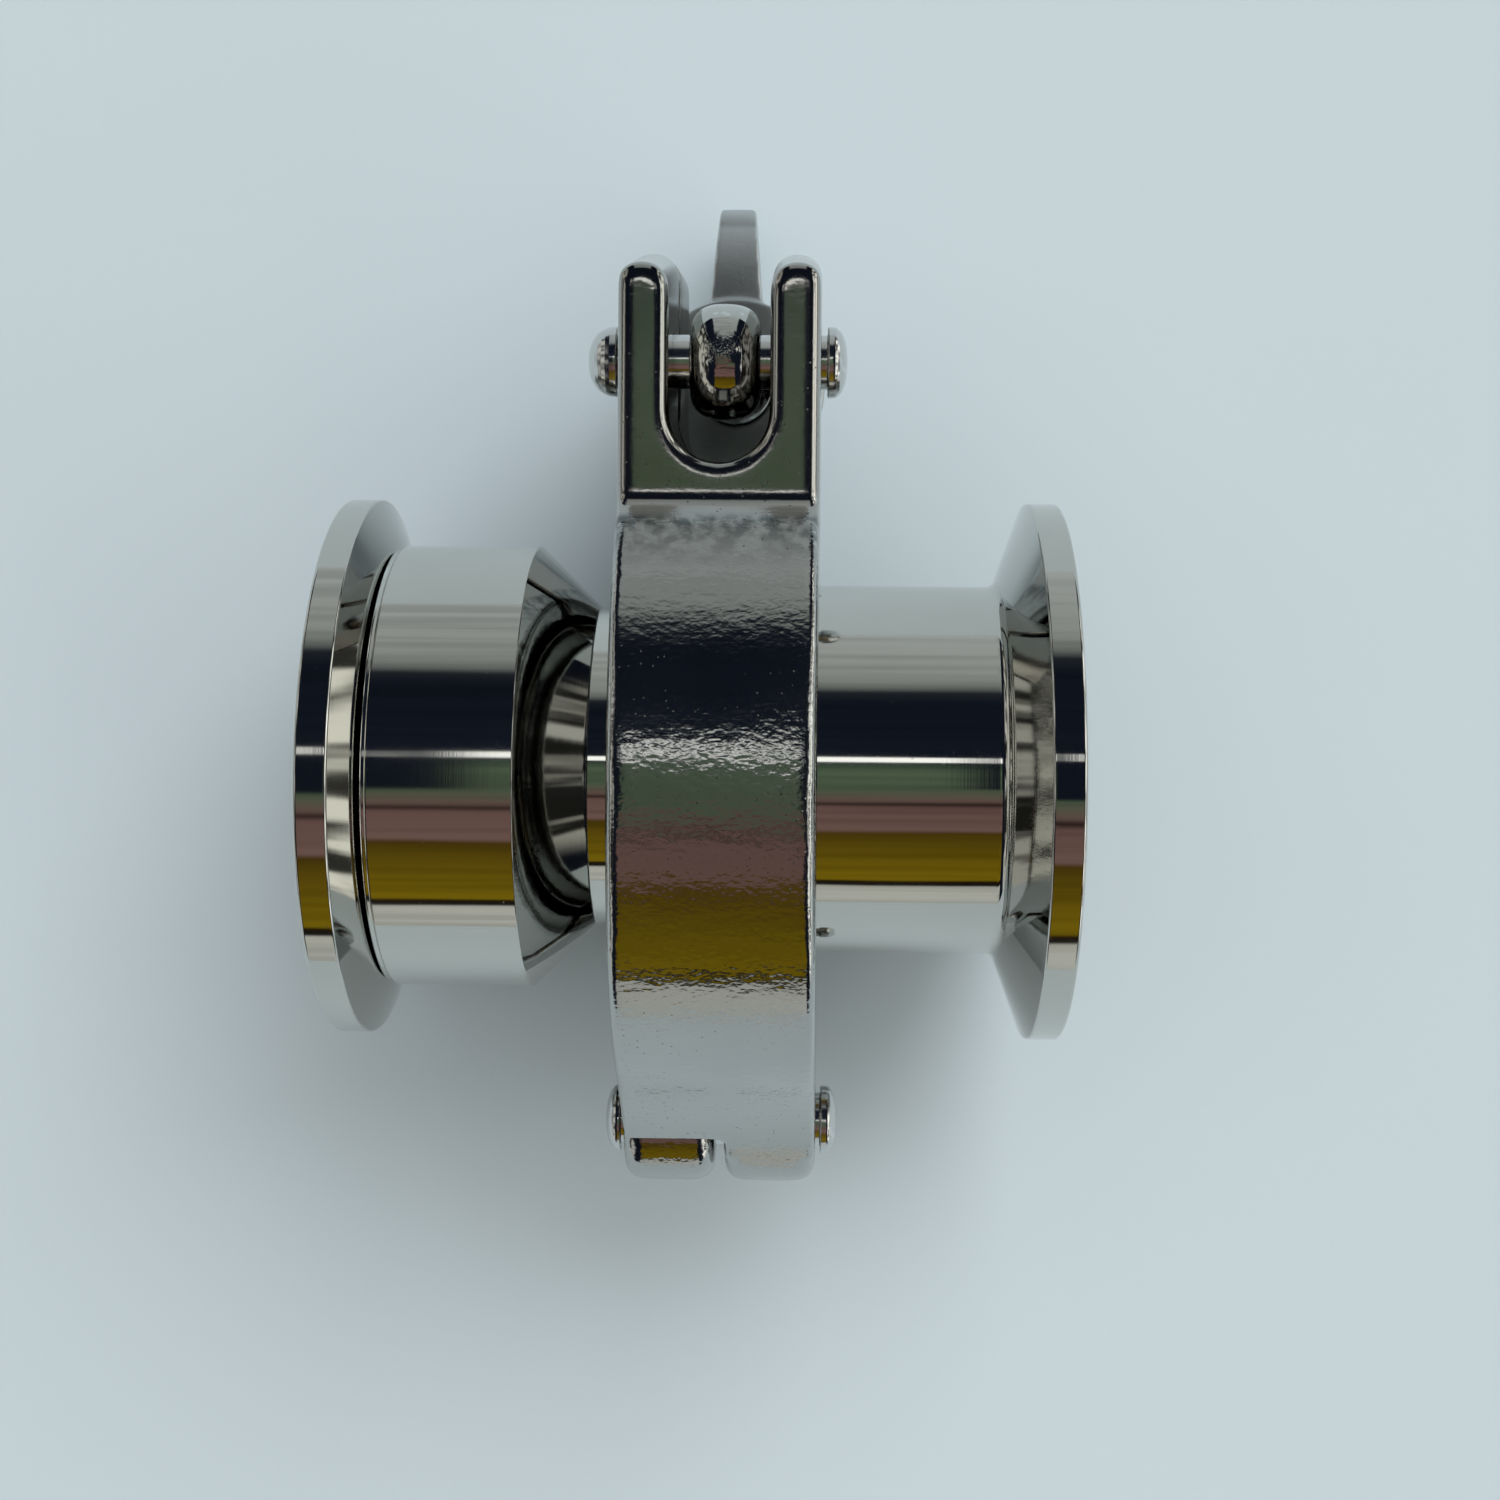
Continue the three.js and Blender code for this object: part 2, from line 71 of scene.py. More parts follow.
# ---- dimensions shared with the CAD model, in millimetres ----------------------------------
INLET_FACE, OUTLET_FACE, UNION_FACE = 31.3, -35.4, 0.9
FLANGE_R, RIM, BEAD_R, BEAD_DEPTH = 25.25, 2.85, 21.75, 1.1
TUBE_R, TUBE_BORE = 17.35, 15.7
CHAMBER_R, CHAMBER_BORE, CHAMBER_END = 20.87, 19.1, -17.5
NECK_R, NECK_BORE = 15.0, 13.2
WELD, CONE_WALL = -30.3, 1.6
CLAMP_R, CLAMP_LIP, CLAMP_CREST, CLAMP_ROOT = 31.2, 22.0, 8.6, 9.1
CLAMP_GAP, PARTING = 0.3, 0.75
FORK_FACE, FORK_ROOT, FORK_TIP, REAR_TIP, FORK_TIP_ROOT = 18.7, 23.7, 45.3, 49.3, 48.5
SLOT_HALF, SLOT_FLOOR = 4.4, 28.3
HINGE_Y, HINGE_PIN_R, LUG_R, LUG_GAP, LUG_RELIEF, LUG_CORNER = -33.9, 2.5, 5.75, 0.42, 6.3, 2.0
FORK_PIN_Y, FORK_PIN_Z, FORK_PIN_R = 37.66, 9.5, 2.45
EYE_R, EYE_HALF, BOLT_X, BOLT_R, BOLT_END, THREAD_START = 5.25, 3.2, 0.3, 3.6, -33.0, 15.0
NUT_FACE, NUT_END, NUT_R = -21.2, -31.4, 9.4
STEM_R, DISC_BACK, DISC_FRONT = 3.0, -17.5, -12.9
O_RING_R, O_RING_X, O_RING_SECTION = 15.3, -16.1, 1.3
HUB_END, SPRING_START, SPRING_END = 7.0, 8.0, 19.0
SPRING_MEAN, SPRING_WIRE, SPRING_TURNS = 4.4, 0.45, 4.5

# ---- where the valve stands in the frame -----------------------------------------------------
inlet_low, inlet_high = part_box("inlet_body")
PIPE = Vector((inlet_high[0] - INLET_FACE * MM,
               (inlet_low[1] + inlet_high[1]) / 2,
               (inlet_low[2] + inlet_high[2]) / 2))
CLAMP_ROLL = math.radians(6)
VALVE_FRAME = Matrix.Translation(PIPE) @ Matrix.Scale(MM, 4)
CLAMP_FRAME = Matrix.Translation(PIPE) @ Matrix.Rotation(CLAMP_ROLL, 4, "X") @ Matrix.Scale(MM, 4)


# ---- meshes ------------------------------------------------------------------------------------
def arc_corner(before, corner, after, radius, steps=6):
    """Points and normals of a rounded corner of a profile; the profile runs with its solid on the
    right, so the outward normal of a step (dx, dr) is (-dr, dx)."""
    a, b, c = (np.array(p, float) for p in (before, corner, after))
    u, v = (a - b) / np.linalg.norm(a - b), (c - b) / np.linalg.norm(c - b)
    half = math.acos(max(-1.0, min(1.0, float(u @ v)))) / 2
    reach = min(radius / math.tan(half), 0.45 * np.linalg.norm(a - b), 0.45 * np.linalg.norm(c - b))
    true_radius = reach * math.tan(half)
    centre = b + (u + v) / np.linalg.norm(u + v) * true_radius / math.sin(half)
    start, end = b + u * reach - centre, b + v * reach - centre
    turn = math.atan2(start[0] * end[1] - start[1] * end[0], float(start @ end))
    d = b - a
    outward = np.array([-d[1], d[0]]) / np.linalg.norm(d)
    sign = 1.0 if start @ outward > 0 else -1.0
    result = []
    for i in range(steps + 1):
        t = turn * i / steps
        p = np.array([start[0] * math.cos(t) - start[1] * math.sin(t),
                      start[0] * math.sin(t) + start[1] * math.cos(t)])
        result.append((centre + p, sign * p / true_radius))
    return result


def lathe_mesh(profile, sides=AROUND, softness=0.12):
    """A body turned about X from [(x, r) or (x, r, rounding)], with exact normals. A profile that
    doesn't start and end on the axis closes on itself."""
    points = [tuple(p[:2]) for p in profile]
    rounding = [p[2] if len(p) > 2 else softness for p in profile]
    closed = points[0][1] > 0
    count = len(points)
    line = []
    for i, point in enumerate(points):
        if not closed and i in (0, count - 1):
            other = points[1] if i == 0 else points[count - 2]
            line.append((np.array(point), np.array([math.copysign(1.0, point[0] - other[0]), 0.0])
                         if abs(point[0] - other[0]) > 1e-9 else None))
            continue
        before, after = points[i - 1], points[(i + 1) % count]
        line.extend(arc_corner(before, point, after, rounding[i]))
    if not closed:                      # a flat end face: its normal lies along the axis
        line[0] = (line[0][0], np.array([-1.0, 0.0]))
        line[-1] = (line[-1][0], np.array([1.0, 0.0]))
    verts, normals, faces, rings = [], [], [], []
    for point, normal in line:
        if point[1] < 1e-9:
            rings.append([len(verts)])
            verts.append((point[0], 0.0, 0.0))
            normals.append((normal[0], 0.0, 0.0))
            continue
        rings.append(list(range(len(verts), len(verts) + sides)))
        for k in range(sides):
            c, s = math.cos(2 * math.pi * k / sides), math.sin(2 * math.pi * k / sides)
            verts.append((point[0], point[1] * c, point[1] * s))
            normals.append((normal[0], normal[1] * c, normal[1] * s))
    pairs = list(zip(rings, rings[1:] + rings[:1])) if closed else list(zip(rings, rings[1:]))
    for low, high in pairs:
        for k in range(sides):
            n = (k + 1) % sides
            if len(low) == 1:
                faces.append((low[0], high[n], high[k]))
            elif len(high) == 1:
                faces.append((low[k], low[n], high[0]))
            else:
                faces.append((low[k], low[n], high[n], high[k]))
    mesh = bpy.data.meshes.new("turned")
    mesh.from_pydata(verts, [], faces)
    return mesh, normals


def place(name, mesh, matrix, normals=None):
    mesh.transform(matrix)
    piece = bpy.data.objects.new(name, mesh)
    bpy.context.scene.collection.objects.link(piece)
    mesh.polygons.foreach_set("use_smooth", [True] * len(mesh.polygons))
    if normals is not None:
        turn = matrix.to_3x3().normalized()
        flat = [tuple((turn @ Vector(n)).normalized()) for n in normals]
        mesh.normals_split_custom_set_from_vertices(flat)
    return piece


def turned(name, profile, matrix=VALVE_FRAME, offset=(0, 0, 0), sides=AROUND, softness=0.12):
    mesh, normals = lathe_mesh(profile, sides, softness)
    return place(name, mesh, matrix @ Matrix.Translation(offset), normals)


def raw_lathe(profile, sides=AROUND, softness=0.0):
    """A turned solid for boolean work, in millimetres."""
    mesh, _ = lathe_mesh(profile, sides, max(softness, 0.02))
    return mesh


def prism(points, low, high, axes="yzx", shift=(0.0, 0.0)):
    """An outline in the plane of the first two axes, extruded along the third from low to high;
    shift moves the far outline, for a leaning prism."""
    order = ["xyz".index(a) for a in axes]
    verts, count = [], len(points)
    for level, (du, dv) in ((low, (0.0, 0.0)), (high, shift)):
        for u, v in points:
            p = [0.0, 0.0, 0.0]
            p[order[0]], p[order[1]], p[order[2]] = u + du, v + dv, level
            verts.append(p)
    faces = [tuple(range(count)), tuple(range(2 * count - 1, count - 1, -1))]
    faces += [(i, (i + 1) % count, count + (i + 1) % count, count + i) for i in range(count)]
    mesh = bpy.data.meshes.new("prism")
    mesh.from_pydata(verts, [], faces)
    return outward(mesh)


def outward(mesh):
    bm = bmesh.new()
    bm.from_mesh(mesh)
    bmesh.ops.recalc_face_normals(bm, faces=bm.faces)
    bm.to_mesh(mesh)
    bm.free()
    return mesh


def shifted(mesh, x=0.0, y=0.0, z=0.0):
    mesh.transform(Matrix.Translation((x, y, z)))
    return mesh


def arc(cx, cy, radius, start, end, steps):
    """Points of an arc; start and end in degrees."""
    return [(cx + radius * math.cos(math.radians(start + (end - start) * i / steps)),
             cy + radius * math.sin(math.radians(start + (end - start) * i / steps)))
            for i in range(steps + 1)]


def bend(p0, p1, p2, steps=12):
    """Points of a quadratic curve."""
    return [tuple((1 - t) ** 2 * a + 2 * t * (1 - t) * b + t * t * c for a, b, c in zip(p0, p1, p2))
            for t in (i / steps for i in range(steps + 1))]


def carve(base, steps):
    """Boolean steps [(operation, mesh), ...] on a mesh."""
    body = bpy.data.objects.new("work", base)
    bpy.context.scene.collection.objects.link(body)
    tools = []
    for operation, mesh in steps:
        tool = bpy.data.objects.new("tool", mesh)
        bpy.context.scene.collection.objects.link(tool)
        tools.append(tool)
        modifier = body.modifiers.new("cut", "BOOLEAN")
        modifier.operation, modifier.object, modifier.solver = operation, tool, "MANIFOLD"
    result = bpy.data.meshes.new_from_object(body.evaluated_get(bpy.context.evaluated_depsgraph_get()))
    for used in [body] + tools:
        bpy.data.objects.remove(used)
    return result


def cast(mesh, grain, passes, factor=0.5):
    """A casting's soft edges: even small faces all over, then smoothing."""
    body = bpy.data.objects.new("work", mesh)
    bpy.context.scene.collection.objects.link(body)
    remesh = body.modifiers.new("grain", "REMESH")
    remesh.mode, remesh.voxel_size, remesh.adaptivity = "VOXEL", grain, 0.0
    smooth = body.modifiers.new("soft", "SMOOTH")
    smooth.factor, smooth.iterations = factor, passes
    result = bpy.data.meshes.new_from_object(body.evaluated_get(bpy.context.evaluated_depsgraph_get()))
    bpy.data.objects.remove(body)
    return result


def threaded(x0, x1, major, pitch, sides=72, depth=0.54):
    """A threaded rod along X with tapered ends, as one closed grid."""
    per_turn = 12
    rows = int((x1 - x0) / pitch * per_turn) + 1
    verts = []
    for i in range(rows + 1):
        x = x0 + (x1 - x0) * i / rows
        fade = min(1.0, (x - x0) / pitch, (x1 - x) / pitch)
        for k in range(sides):
            turn = 2 * math.pi * k / sides
            phase = (x / pitch - k / sides) % 1.0
            cut = depth * pitch * min(1.0, max(0.0, 1.35 * (1 - abs(2 * phase - 1)) - 0.15))
            radius = major - cut - (1 - fade) * 0.35 * pitch
            verts.append((x, radius * math.cos(turn), radius * math.sin(turn)))
    faces = [(i * sides + k, i * sides + (k + 1) % sides, (i + 1) * sides + (k + 1) % sides,
              (i + 1) * sides + k) for i in range(rows) for k in range(sides)]
    faces += [tuple(range(sides - 1, -1, -1)), tuple(range(rows * sides, (rows + 1) * sides))]
    mesh = bpy.data.meshes.new("thread")
    mesh.from_pydata(verts, [], faces)
    return outward(mesh)


def joined(meshes):
    bm = bmesh.new()
    for mesh in meshes:
        bm.from_mesh(mesh)
    result = bpy.data.meshes.new("joined")
    bm.to_mesh(result)
    bm.free()
    return result


# ---- materials ---------------------------------------------------------------------------------
class Nodes:
    """Small helper to build a material's node tree."""

    def __init__(self, name):
        self.material = bpy.data.materials.new(name)
        self.material.use_nodes = True
        self.tree = self.material.node_tree
        self.shader = self.tree.nodes["Principled BSDF"]
        self.place = self.add("ShaderNodeTexCoord").outputs["Object"]

    def add(self, kind, **values):
        node = self.tree.nodes.new(kind)
        for key, value in values.items():
            setattr(node, key, value)
        return node

    def link(self, source, target):
        self.tree.links.new(source, target)

    def scaled(self, scale):
        node = self.add("ShaderNodeMapping")
        node.inputs["Scale"].default_value = scale
        self.link(self.place, node.inputs["Vector"])
        return node.outputs["Vector"]

    def noise(self, scale, detail=2.0, vector=None, roughness=0.5):
        node = self.add("ShaderNodeTexNoise")
        node.inputs["Scale"].default_value = scale
        node.inputs["Detail"].default_value = detail
        node.inputs["Roughness"].default_value = roughness
        self.link(vector or self.place, node.inputs["Vector"])
        return node.outputs["Fac"]

    def spots(self, scale, edge):
        """1 inside small round spots and 0 outside; edge is the spots' radius in cells."""
        cells = self.add("ShaderNodeTexVoronoi")
        cells.inputs["Scale"].default_value = scale
        self.link(self.place, cells.inputs["Vector"])
        return self.ranged(cells.outputs["Distance"], edge * 0.4, edge, 1.0, 0.0)

    def ranged(self, source, low, high, new_low, new_high):
        node = self.add("ShaderNodeMapRange")
        for key, value in (("From Min", low), ("From Max", high), ("To Min", new_low), ("To Max", new_high)):
            node.inputs[key].default_value = value
        self.link(source, node.inputs["Value"])
        return node.outputs["Result"]

    def math(self, operation, a, b):
        node = self.add("ShaderNodeMath", operation=operation)
        for socket, value in zip(node.inputs, (a, b)):
            if isinstance(value, (int, float)):
                socket.default_value = value
            else:
                self.link(value, socket)
        return node.outputs["Value"]

    def blend(self, factor, first, second):
        node = self.add("ShaderNodeMix", data_type="RGBA")
        for socket, value in zip((node.inputs[0], node.inputs[6], node.inputs[7]), (factor, first, second)):
            if isinstance(value, tuple):
                socket.default_value = (*value, 1.0)
            elif isinstance(value, (int, float)):
                socket.default_value = value
            else:
                self.link(value, socket)
        return node.outputs[2]

    def bump(self, height, strength, distance):
        node = self.add("ShaderNodeBump")
        node.inputs["Strength"].default_value = strength
        node.inputs["Distance"].default_value = distance
        self.link(height, node.inputs["Height"])
        return node.outputs["Normal"]

    def edges(self, low, high):
        """1 on convex edges and 0 elsewhere."""
        return self.ranged(self.add("ShaderNodeNewGeometry").outputs["Pointiness"], low, high, 0.0, 1.0)

    def rubbed(self, colour, light, share=0.5, low=0.52, high=0.6):
        """The colour with its convex edges worn lighter."""
        return self.blend(self.math("MULTIPLY", self.edges(low, high), share), colour, light)

    def finish(self, colour, roughness, normal=None, metallic=1.0):
        self.shader.inputs["Metallic"].default_value = metallic
        self.link(colour, self.shader.inputs["Base Color"])
        self.link(roughness, self.shader.inputs["Roughness"])
        if normal is not None:
            self.link(normal, self.shader.inputs["Normal"])
        return self.material


def polished_steel():
    """Mirror-polished stainless with faint turning lines, haze and rubbed edges."""
    m = Nodes("polished_steel")
    haze = m.noise(55.0, 3.0)
    lines = m.noise(1.0, 4.0, m.scaled((5200.0, 60.0, 60.0)))
    specks = m.spots(900.0, 0.09)
    colour = m.blend(haze, (0.53, 0.53, 0.50), (0.60, 0.60, 0.565))
    colour = m.rubbed(colour, (0.82, 0.83, 0.83))
    roughness = m.math("ADD", m.ranged(haze, 0.3, 0.75, 0.035, 0.075), m.math("MULTIPLY", specks, 0.15))
    normal = m.bump(lines, 0.05, 0.00002)
    return m.finish(colour, roughness, normal)


def cast_steel():
    """Polished investment casting: a fine hammered skin that is calmer on the flat fork, small
    pits, brighter rubbed edges."""
    m = Nodes("cast_steel")
    out = (CLAMP_FRAME.to_3x3() @ Vector((0, 1, 0))).normalized()
    along = m.add("ShaderNodeVectorMath", operation="DOT_PRODUCT")
    m.link(m.place, along.inputs[0])
    along.inputs[1].default_value = out
    reach = m.math("SUBTRACT", along.outputs["Value"], PIPE.dot(out))
    fork = m.ranged(reach, (FORK_ROOT - 0.3) * MM, (FORK_ROOT + 0.3) * MM, 0.0, 1.0)
    haze = m.noise(90.0, 3.0)
    peel = m.noise(2600.0, 1.5, m.scaled((0.7, 1.0, 1.0)))
    swell = m.noise(1000.0, 2.0, m.scaled((0.6, 1.0, 1.0)))
    patchy = m.ranged(m.noise(45.0, 2.0), 0.35, 0.65, 0.4, 1.0)
    where = m.ranged(m.noise(90.0, 2.0), 0.44, 0.58, 0.0, 1.0)
    pits = m.math("MULTIPLY", m.spots(1500.0, 0.13), where)
    colour = m.blend(haze, (0.42, 0.425, 0.415), (0.50, 0.505, 0.49))
    # painted reflection: the fork's flat face is coloured darker and browner in soft clouds, standing in for
    # the dark surroundings its polished face mirrors
    clouds = m.ranged(m.noise(70.0, 3.0), 0.4, 0.6, 0.0, 1.0)
    fork_reflection_tint = m.blend(clouds, (0.36, 0.365, 0.34), (0.41, 0.39, 0.365))
    colour = m.blend(m.math("MULTIPLY", fork, 0.75), colour, fork_reflection_tint)
    # painted shade: a mottled dark band on the ring just below the fork root, where the fork shades it
    under = m.ranged(reach, (FORK_ROOT - 4.5) * MM, (FORK_ROOT - 0.8) * MM, 0.0, 1.0)
    under_fork_shade = m.math("MULTIPLY", under, m.math("SUBTRACT", 1.0, fork))
    shade_mottle = m.ranged(m.noise(800.0, 3.0), 0.38, 0.6, 0.25, 0.95)
    colour = m.blend(m.math("MULTIPLY", under_fork_shade, shade_mottle), colour, (0.13, 0.14, 0.14))
    colour = m.rubbed(colour, (0.8, 0.8, 0.78), 0.4, 0.54, 0.64)
    colour = m.blend(m.math("MULTIPLY", pits, 0.8), colour, (0.08, 0.08, 0.08))
    roughness = m.math("ADD", m.ranged(haze, 0.3, 0.75, 0.09, 0.16), m.math("MULTIPLY", pits, 0.3))
    height = m.math("ADD", m.math("MULTIPLY", m.math("MULTIPLY", peel, patchy), 0.9), swell)
    height = m.math("MULTIPLY", height, m.math("SUBTRACT", 1.0, m.math("MULTIPLY", fork, 0.75)))
    height = m.math("SUBTRACT", height, m.math("MULTIPLY", pits, 0.6))
    return m.finish(colour, roughness, m.bump(height, 0.4, 0.0001))


def pin_steel():
    """Bright headed pins with faint turning rings."""
    m = Nodes("pin_steel")
    haze = m.noise(300.0, 3.0)
    rings = m.noise(1.0, 3.0, m.scaled((9000.0, 300.0, 300.0)))
    colour = m.blend(haze, (0.55, 0.56, 0.56), (0.68, 0.68, 0.67))
    colour = m.rubbed(colour, (0.85, 0.85, 0.84))
    return m.finish(colour, m.ranged(haze, 0.3, 0.75, 0.09, 0.2), m.bump(rings, 0.08, 0.00003))


def bolt_steel():
    """Polished eye bolt with a rough as-cast patch on the eye's back."""
    m = Nodes("bolt_steel")
    back = CLAMP_FRAME @ Vector((BOLT_X, FORK_PIN_Y + 0.9, FORK_PIN_Z + EYE_R))
    away = m.add("ShaderNodeVectorMath", operation="DISTANCE")
    m.link(m.place, away.inputs[0])
    away.inputs[1].default_value = back
    haze = m.noise(220.0, 3.0)
    ragged = m.math("ADD", away.outputs["Value"], m.math("MULTIPLY", haze, 2.0 * MM))
    rough = m.ranged(ragged, 1.9 * MM, 2.7 * MM, 1.0, 0.0)
    skin = m.noise(1500.0, 3.0, roughness=0.6)
    colour = m.blend(haze, (0.48, 0.48, 0.46), (0.6, 0.6, 0.58))
    colour = m.rubbed(colour, (0.8, 0.8, 0.79))
    roughness = m.math("ADD", m.ranged(haze, 0.3, 0.75, 0.04, 0.08), m.math("MULTIPLY", rough, 0.1))
    height = m.math("MULTIPLY", skin, m.math("ADD", m.math("MULTIPLY", rough, 0.97), 0.03))
    return m.finish(colour, roughness, m.bump(height, 0.6, 0.00025))


def nut_steel():
    """Satin investment-cast wing nut."""
    m = Nodes("nut_steel")
    haze = m.noise(160.0, 3.0)
    skin = m.noise(1800.0, 3.0, roughness=0.6)
    colour = m.blend(haze, (0.58, 0.61, 0.62), (0.68, 0.70, 0.71))
    colour = m.rubbed(colour, (0.82, 0.83, 0.83))
    return m.finish(colour, m.ranged(haze, 0.3, 0.75, 0.44, 0.56), m.bump(skin, 0.3, 0.0001))


def turned_steel():
    """Fine turned stainless of the poppet."""
    m = Nodes("turned_steel")
    haze = m.noise(120.0, 3.0)
    rings = m.noise(1.0, 3.0, m.scaled((7000.0, 90.0, 90.0)))
    colour = m.blend(haze, (0.56, 0.56, 0.55), (0.68, 0.68, 0.66))
    colour = m.rubbed(colour, (0.8, 0.8, 0.79))
    return m.finish(colour, m.ranged(haze, 0.3, 0.75, 0.14, 0.24), m.bump(rings, 0.2, 0.00004))


def fastener_steel():
    """Bright rolled stainless nuts and washer."""
    m = Nodes("fastener_steel")
    haze = m.noise(400.0, 4.0)
    skin = m.noise(2600.0, 2.0)
    colour = m.blend(haze, (0.5, 0.51, 0.51), (0.66, 0.66, 0.65))
    colour = m.rubbed(colour, (0.82, 0.82, 0.8))
    return m.finish(colour, m.ranged(haze, 0.3, 0.75, 0.18, 0.32), m.bump(skin, 0.15, 0.00005))


def spring_steel():
    """Drawn spring wire."""
    m = Nodes("spring_steel")
    haze = m.noise(700.0, 3.0)
    colour = m.blend(haze, (0.45, 0.45, 0.44), (0.62, 0.62, 0.6))
    return m.finish(colour, m.ranged(haze, 0.3, 0.75, 0.2, 0.35), m.bump(haze, 0.15, 0.00004))


def soft_plastic(name, dark, light, roughness, grain):
    """Moulded rubber or plastic with a fine skin."""
    m = Nodes(name)
    cloud = m.noise(150.0, 3.0)
    skin = m.noise(grain, 3.0)
    colour = m.blend(cloud, dark, light)
    return m.finish(colour, m.ranged(cloud, 0.3, 0.75, roughness - 0.08, roughness + 0.08),
                    m.bump(skin, 0.2, 0.00006), metallic=0.0)


MATERIALS = {
    "polished_steel": polished_steel(),
    "cast_steel": cast_steel(),
    "pin_steel": pin_steel(),
    "bolt_steel": bolt_steel(),
    "nut_steel": nut_steel(),
    "turned_steel": turned_steel(),
    "fastener_steel": fastener_steel(),
    "spring_steel": spring_steel(),
    "gasket_rubber": soft_plastic("gasket_rubber", (0.62, 0.62, 0.58), (0.72, 0.72, 0.68), 0.5, 2000.0),
    "o_ring_rubber": soft_plastic("o_ring_rubber", (0.012, 0.012, 0.013), (0.03, 0.03, 0.032), 0.45, 3000.0),
    "bush_plastic": soft_plastic("bush_plastic", (0.68, 0.67, 0.63), (0.8, 0.79, 0.75), 0.45, 1800.0),
}
SLOTS = {entry["node"]: entry["material_slot"] for entry in frame["record"]["subparts"]}
BODY_OF = {node: body for body, nodes in frame["record"]["behaviour"]["bodies"].items() for node in nodes}


def stand_in(piece, node):
    """The piece is shown instead of its CAD node, in that node's material and on its body."""
    piece.data.materials.clear()
    piece.data.materials.append(MATERIALS[SLOTS[node]])
    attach(piece, BODY_OF[node])
    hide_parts(node)
    return piece


# ---- bodies --------------------------------------------------------------------------------------
def flange_back(face, side, foot, blend=0.8):
    """Rim and back slope of a clamp flange, from its face inwards."""
    back = face + side * RIM
    slope_end = back + side * (FLANGE_R - foot) * SLOPE
    return [(face, FLANGE_R, 0.35), (back, FLANGE_R, 0.3), (slope_end, foot, blend)]


def bead_groove(face, side):
    floor = face + side * BEAD_DEPTH
    return [(face, BEAD_R + 1.5, 0.15), (floor, BEAD_R + 0.9, 0.4), (floor, BEAD_R - 0.9, 0.4),
            (face, BEAD_R - 1.5, 0.15)]


def inlet_body():
    return [*flange_back(UNION_FACE, 1, TUBE_R, 1.2),
            *flange_back(INLET_FACE, -1, TUBE_R, 1.2)[::-1],
            *bead_groove(INLET_FACE, -1),
            (INLET_FACE, TUBE_BORE, 0.2), (4.9, TUBE_BORE, 0.1), (4.9, TUBE_BORE + 1.3, 0.1),
            (UNION_FACE, TUBE_BORE + 1.3, 0.1), *bead_groove(UNION_FACE, 1)[::-1]]


def outlet_chamber():
    inner_line = CHAMBER_END + CHAMBER_R - CONE_WALL * math.sqrt(2)
    return [(WELD, CHAMBER_R - 0.6, 0.05), (WELD, CHAMBER_R, 0.55), (CHAMBER_END, CHAMBER_R, 0.25),
            (CHAMBER_END + CHAMBER_R - NECK_R, NECK_R, 0.3),
            *flange_back(-UNION_FACE, -1, NECK_R, 1.2)[::-1], *bead_groove(-UNION_FACE, -1),
            (-UNION_FACE, NECK_BORE, 0.15), (inner_line - NECK_BORE, NECK_BORE, 0.4),
            (inner_line - CHAMBER_BORE, CHAMBER_BORE, 0.4), (WELD, CHAMBER_BORE, 0.05)]


def outlet_ferrule():
    return [*flange_back(OUTLET_FACE, 1, CHAMBER_R - 0.5, 0.4), (WELD, CHAMBER_R - 0.6, 0.05),
            (WELD, CHAMBER_BORE, 0.05), (OUTLET_FACE, CHAMBER_BORE, 0.2),
            *bead_groove(OUTLET_FACE, 1)[::-1]]


def union_gasket():
    bead = UNION_FACE + 0.8
    outer = FLANGE_R - 0.3
    return [(-UNION_FACE, NECK_BORE + 0.3), (-UNION_FACE, BEAD_R - 1.1), (-bead, BEAD_R - 0.6, 0.4),
            (-bead, BEAD_R + 0.6, 0.4), (-UNION_FACE, BEAD_R + 1.1), (-UNION_FACE, outer, 0.3),
            (UNION_FACE, outer, 0.3), (UNION_FACE, BEAD_R + 1.1), (bead, BEAD_R + 0.6, 0.4),
            (bead, BEAD_R - 0.6, 0.4), (UNION_FACE, BEAD_R - 1.1), (UNION_FACE, NECK_BORE + 0.3)]


def build_bodies():
    stand_in(turned("inlet_body_polished", inlet_body()), "inlet_body")
    stand_in(turned("outlet_chamber_polished", outlet_chamber()), "outlet_chamber")
    stand_in(turned("outlet_ferrule_polished", outlet_ferrule()), "outlet_ferrule")
    stand_in(turned("union_gasket_moulded", union_gasket()), "union_gasket")


# ---- guide and poppet ----------------------------------------------------------------------------
def tube_profile(x0, x1, outer, inner, rounding=0.15):
    return [(x0, inner, rounding), (x0, outer, rounding), (x1, outer, rounding), (x1, inner, rounding)]


def guide_spider():
    start = UNION_FACE + 0.05
    length = TUBE_BORE - 0.4
    steps = [("UNION", raw_lathe([(start, 0), (start, 5.6), (HUB_END, 5.6, 0.6), (HUB_END, 0)]))]
    for arm in range(3):
        plan = [(-1.1, 0.0), (1.1, 0.0), (1.1, length), (-1.1, length)]
        plate = prism(plan, start + 0.1, start + 3.6, "zyx")
        plate.transform(Matrix.Rotation(arm * 2 * math.pi / 3 + 0.3, 4, "X"))
        steps.append(("UNION", plate))
    steps.append(("DIFFERENCE", raw_lathe([(-2, 0), (-2, 4.05), (12, 4.05), (12, 0)])))
    ring = raw_lathe(tube_profile(start, 4.7, TUBE_BORE + 1.1, TUBE_BORE - 1.3, 0.3))
    return cast(carve(ring, steps), 0.2, 4)


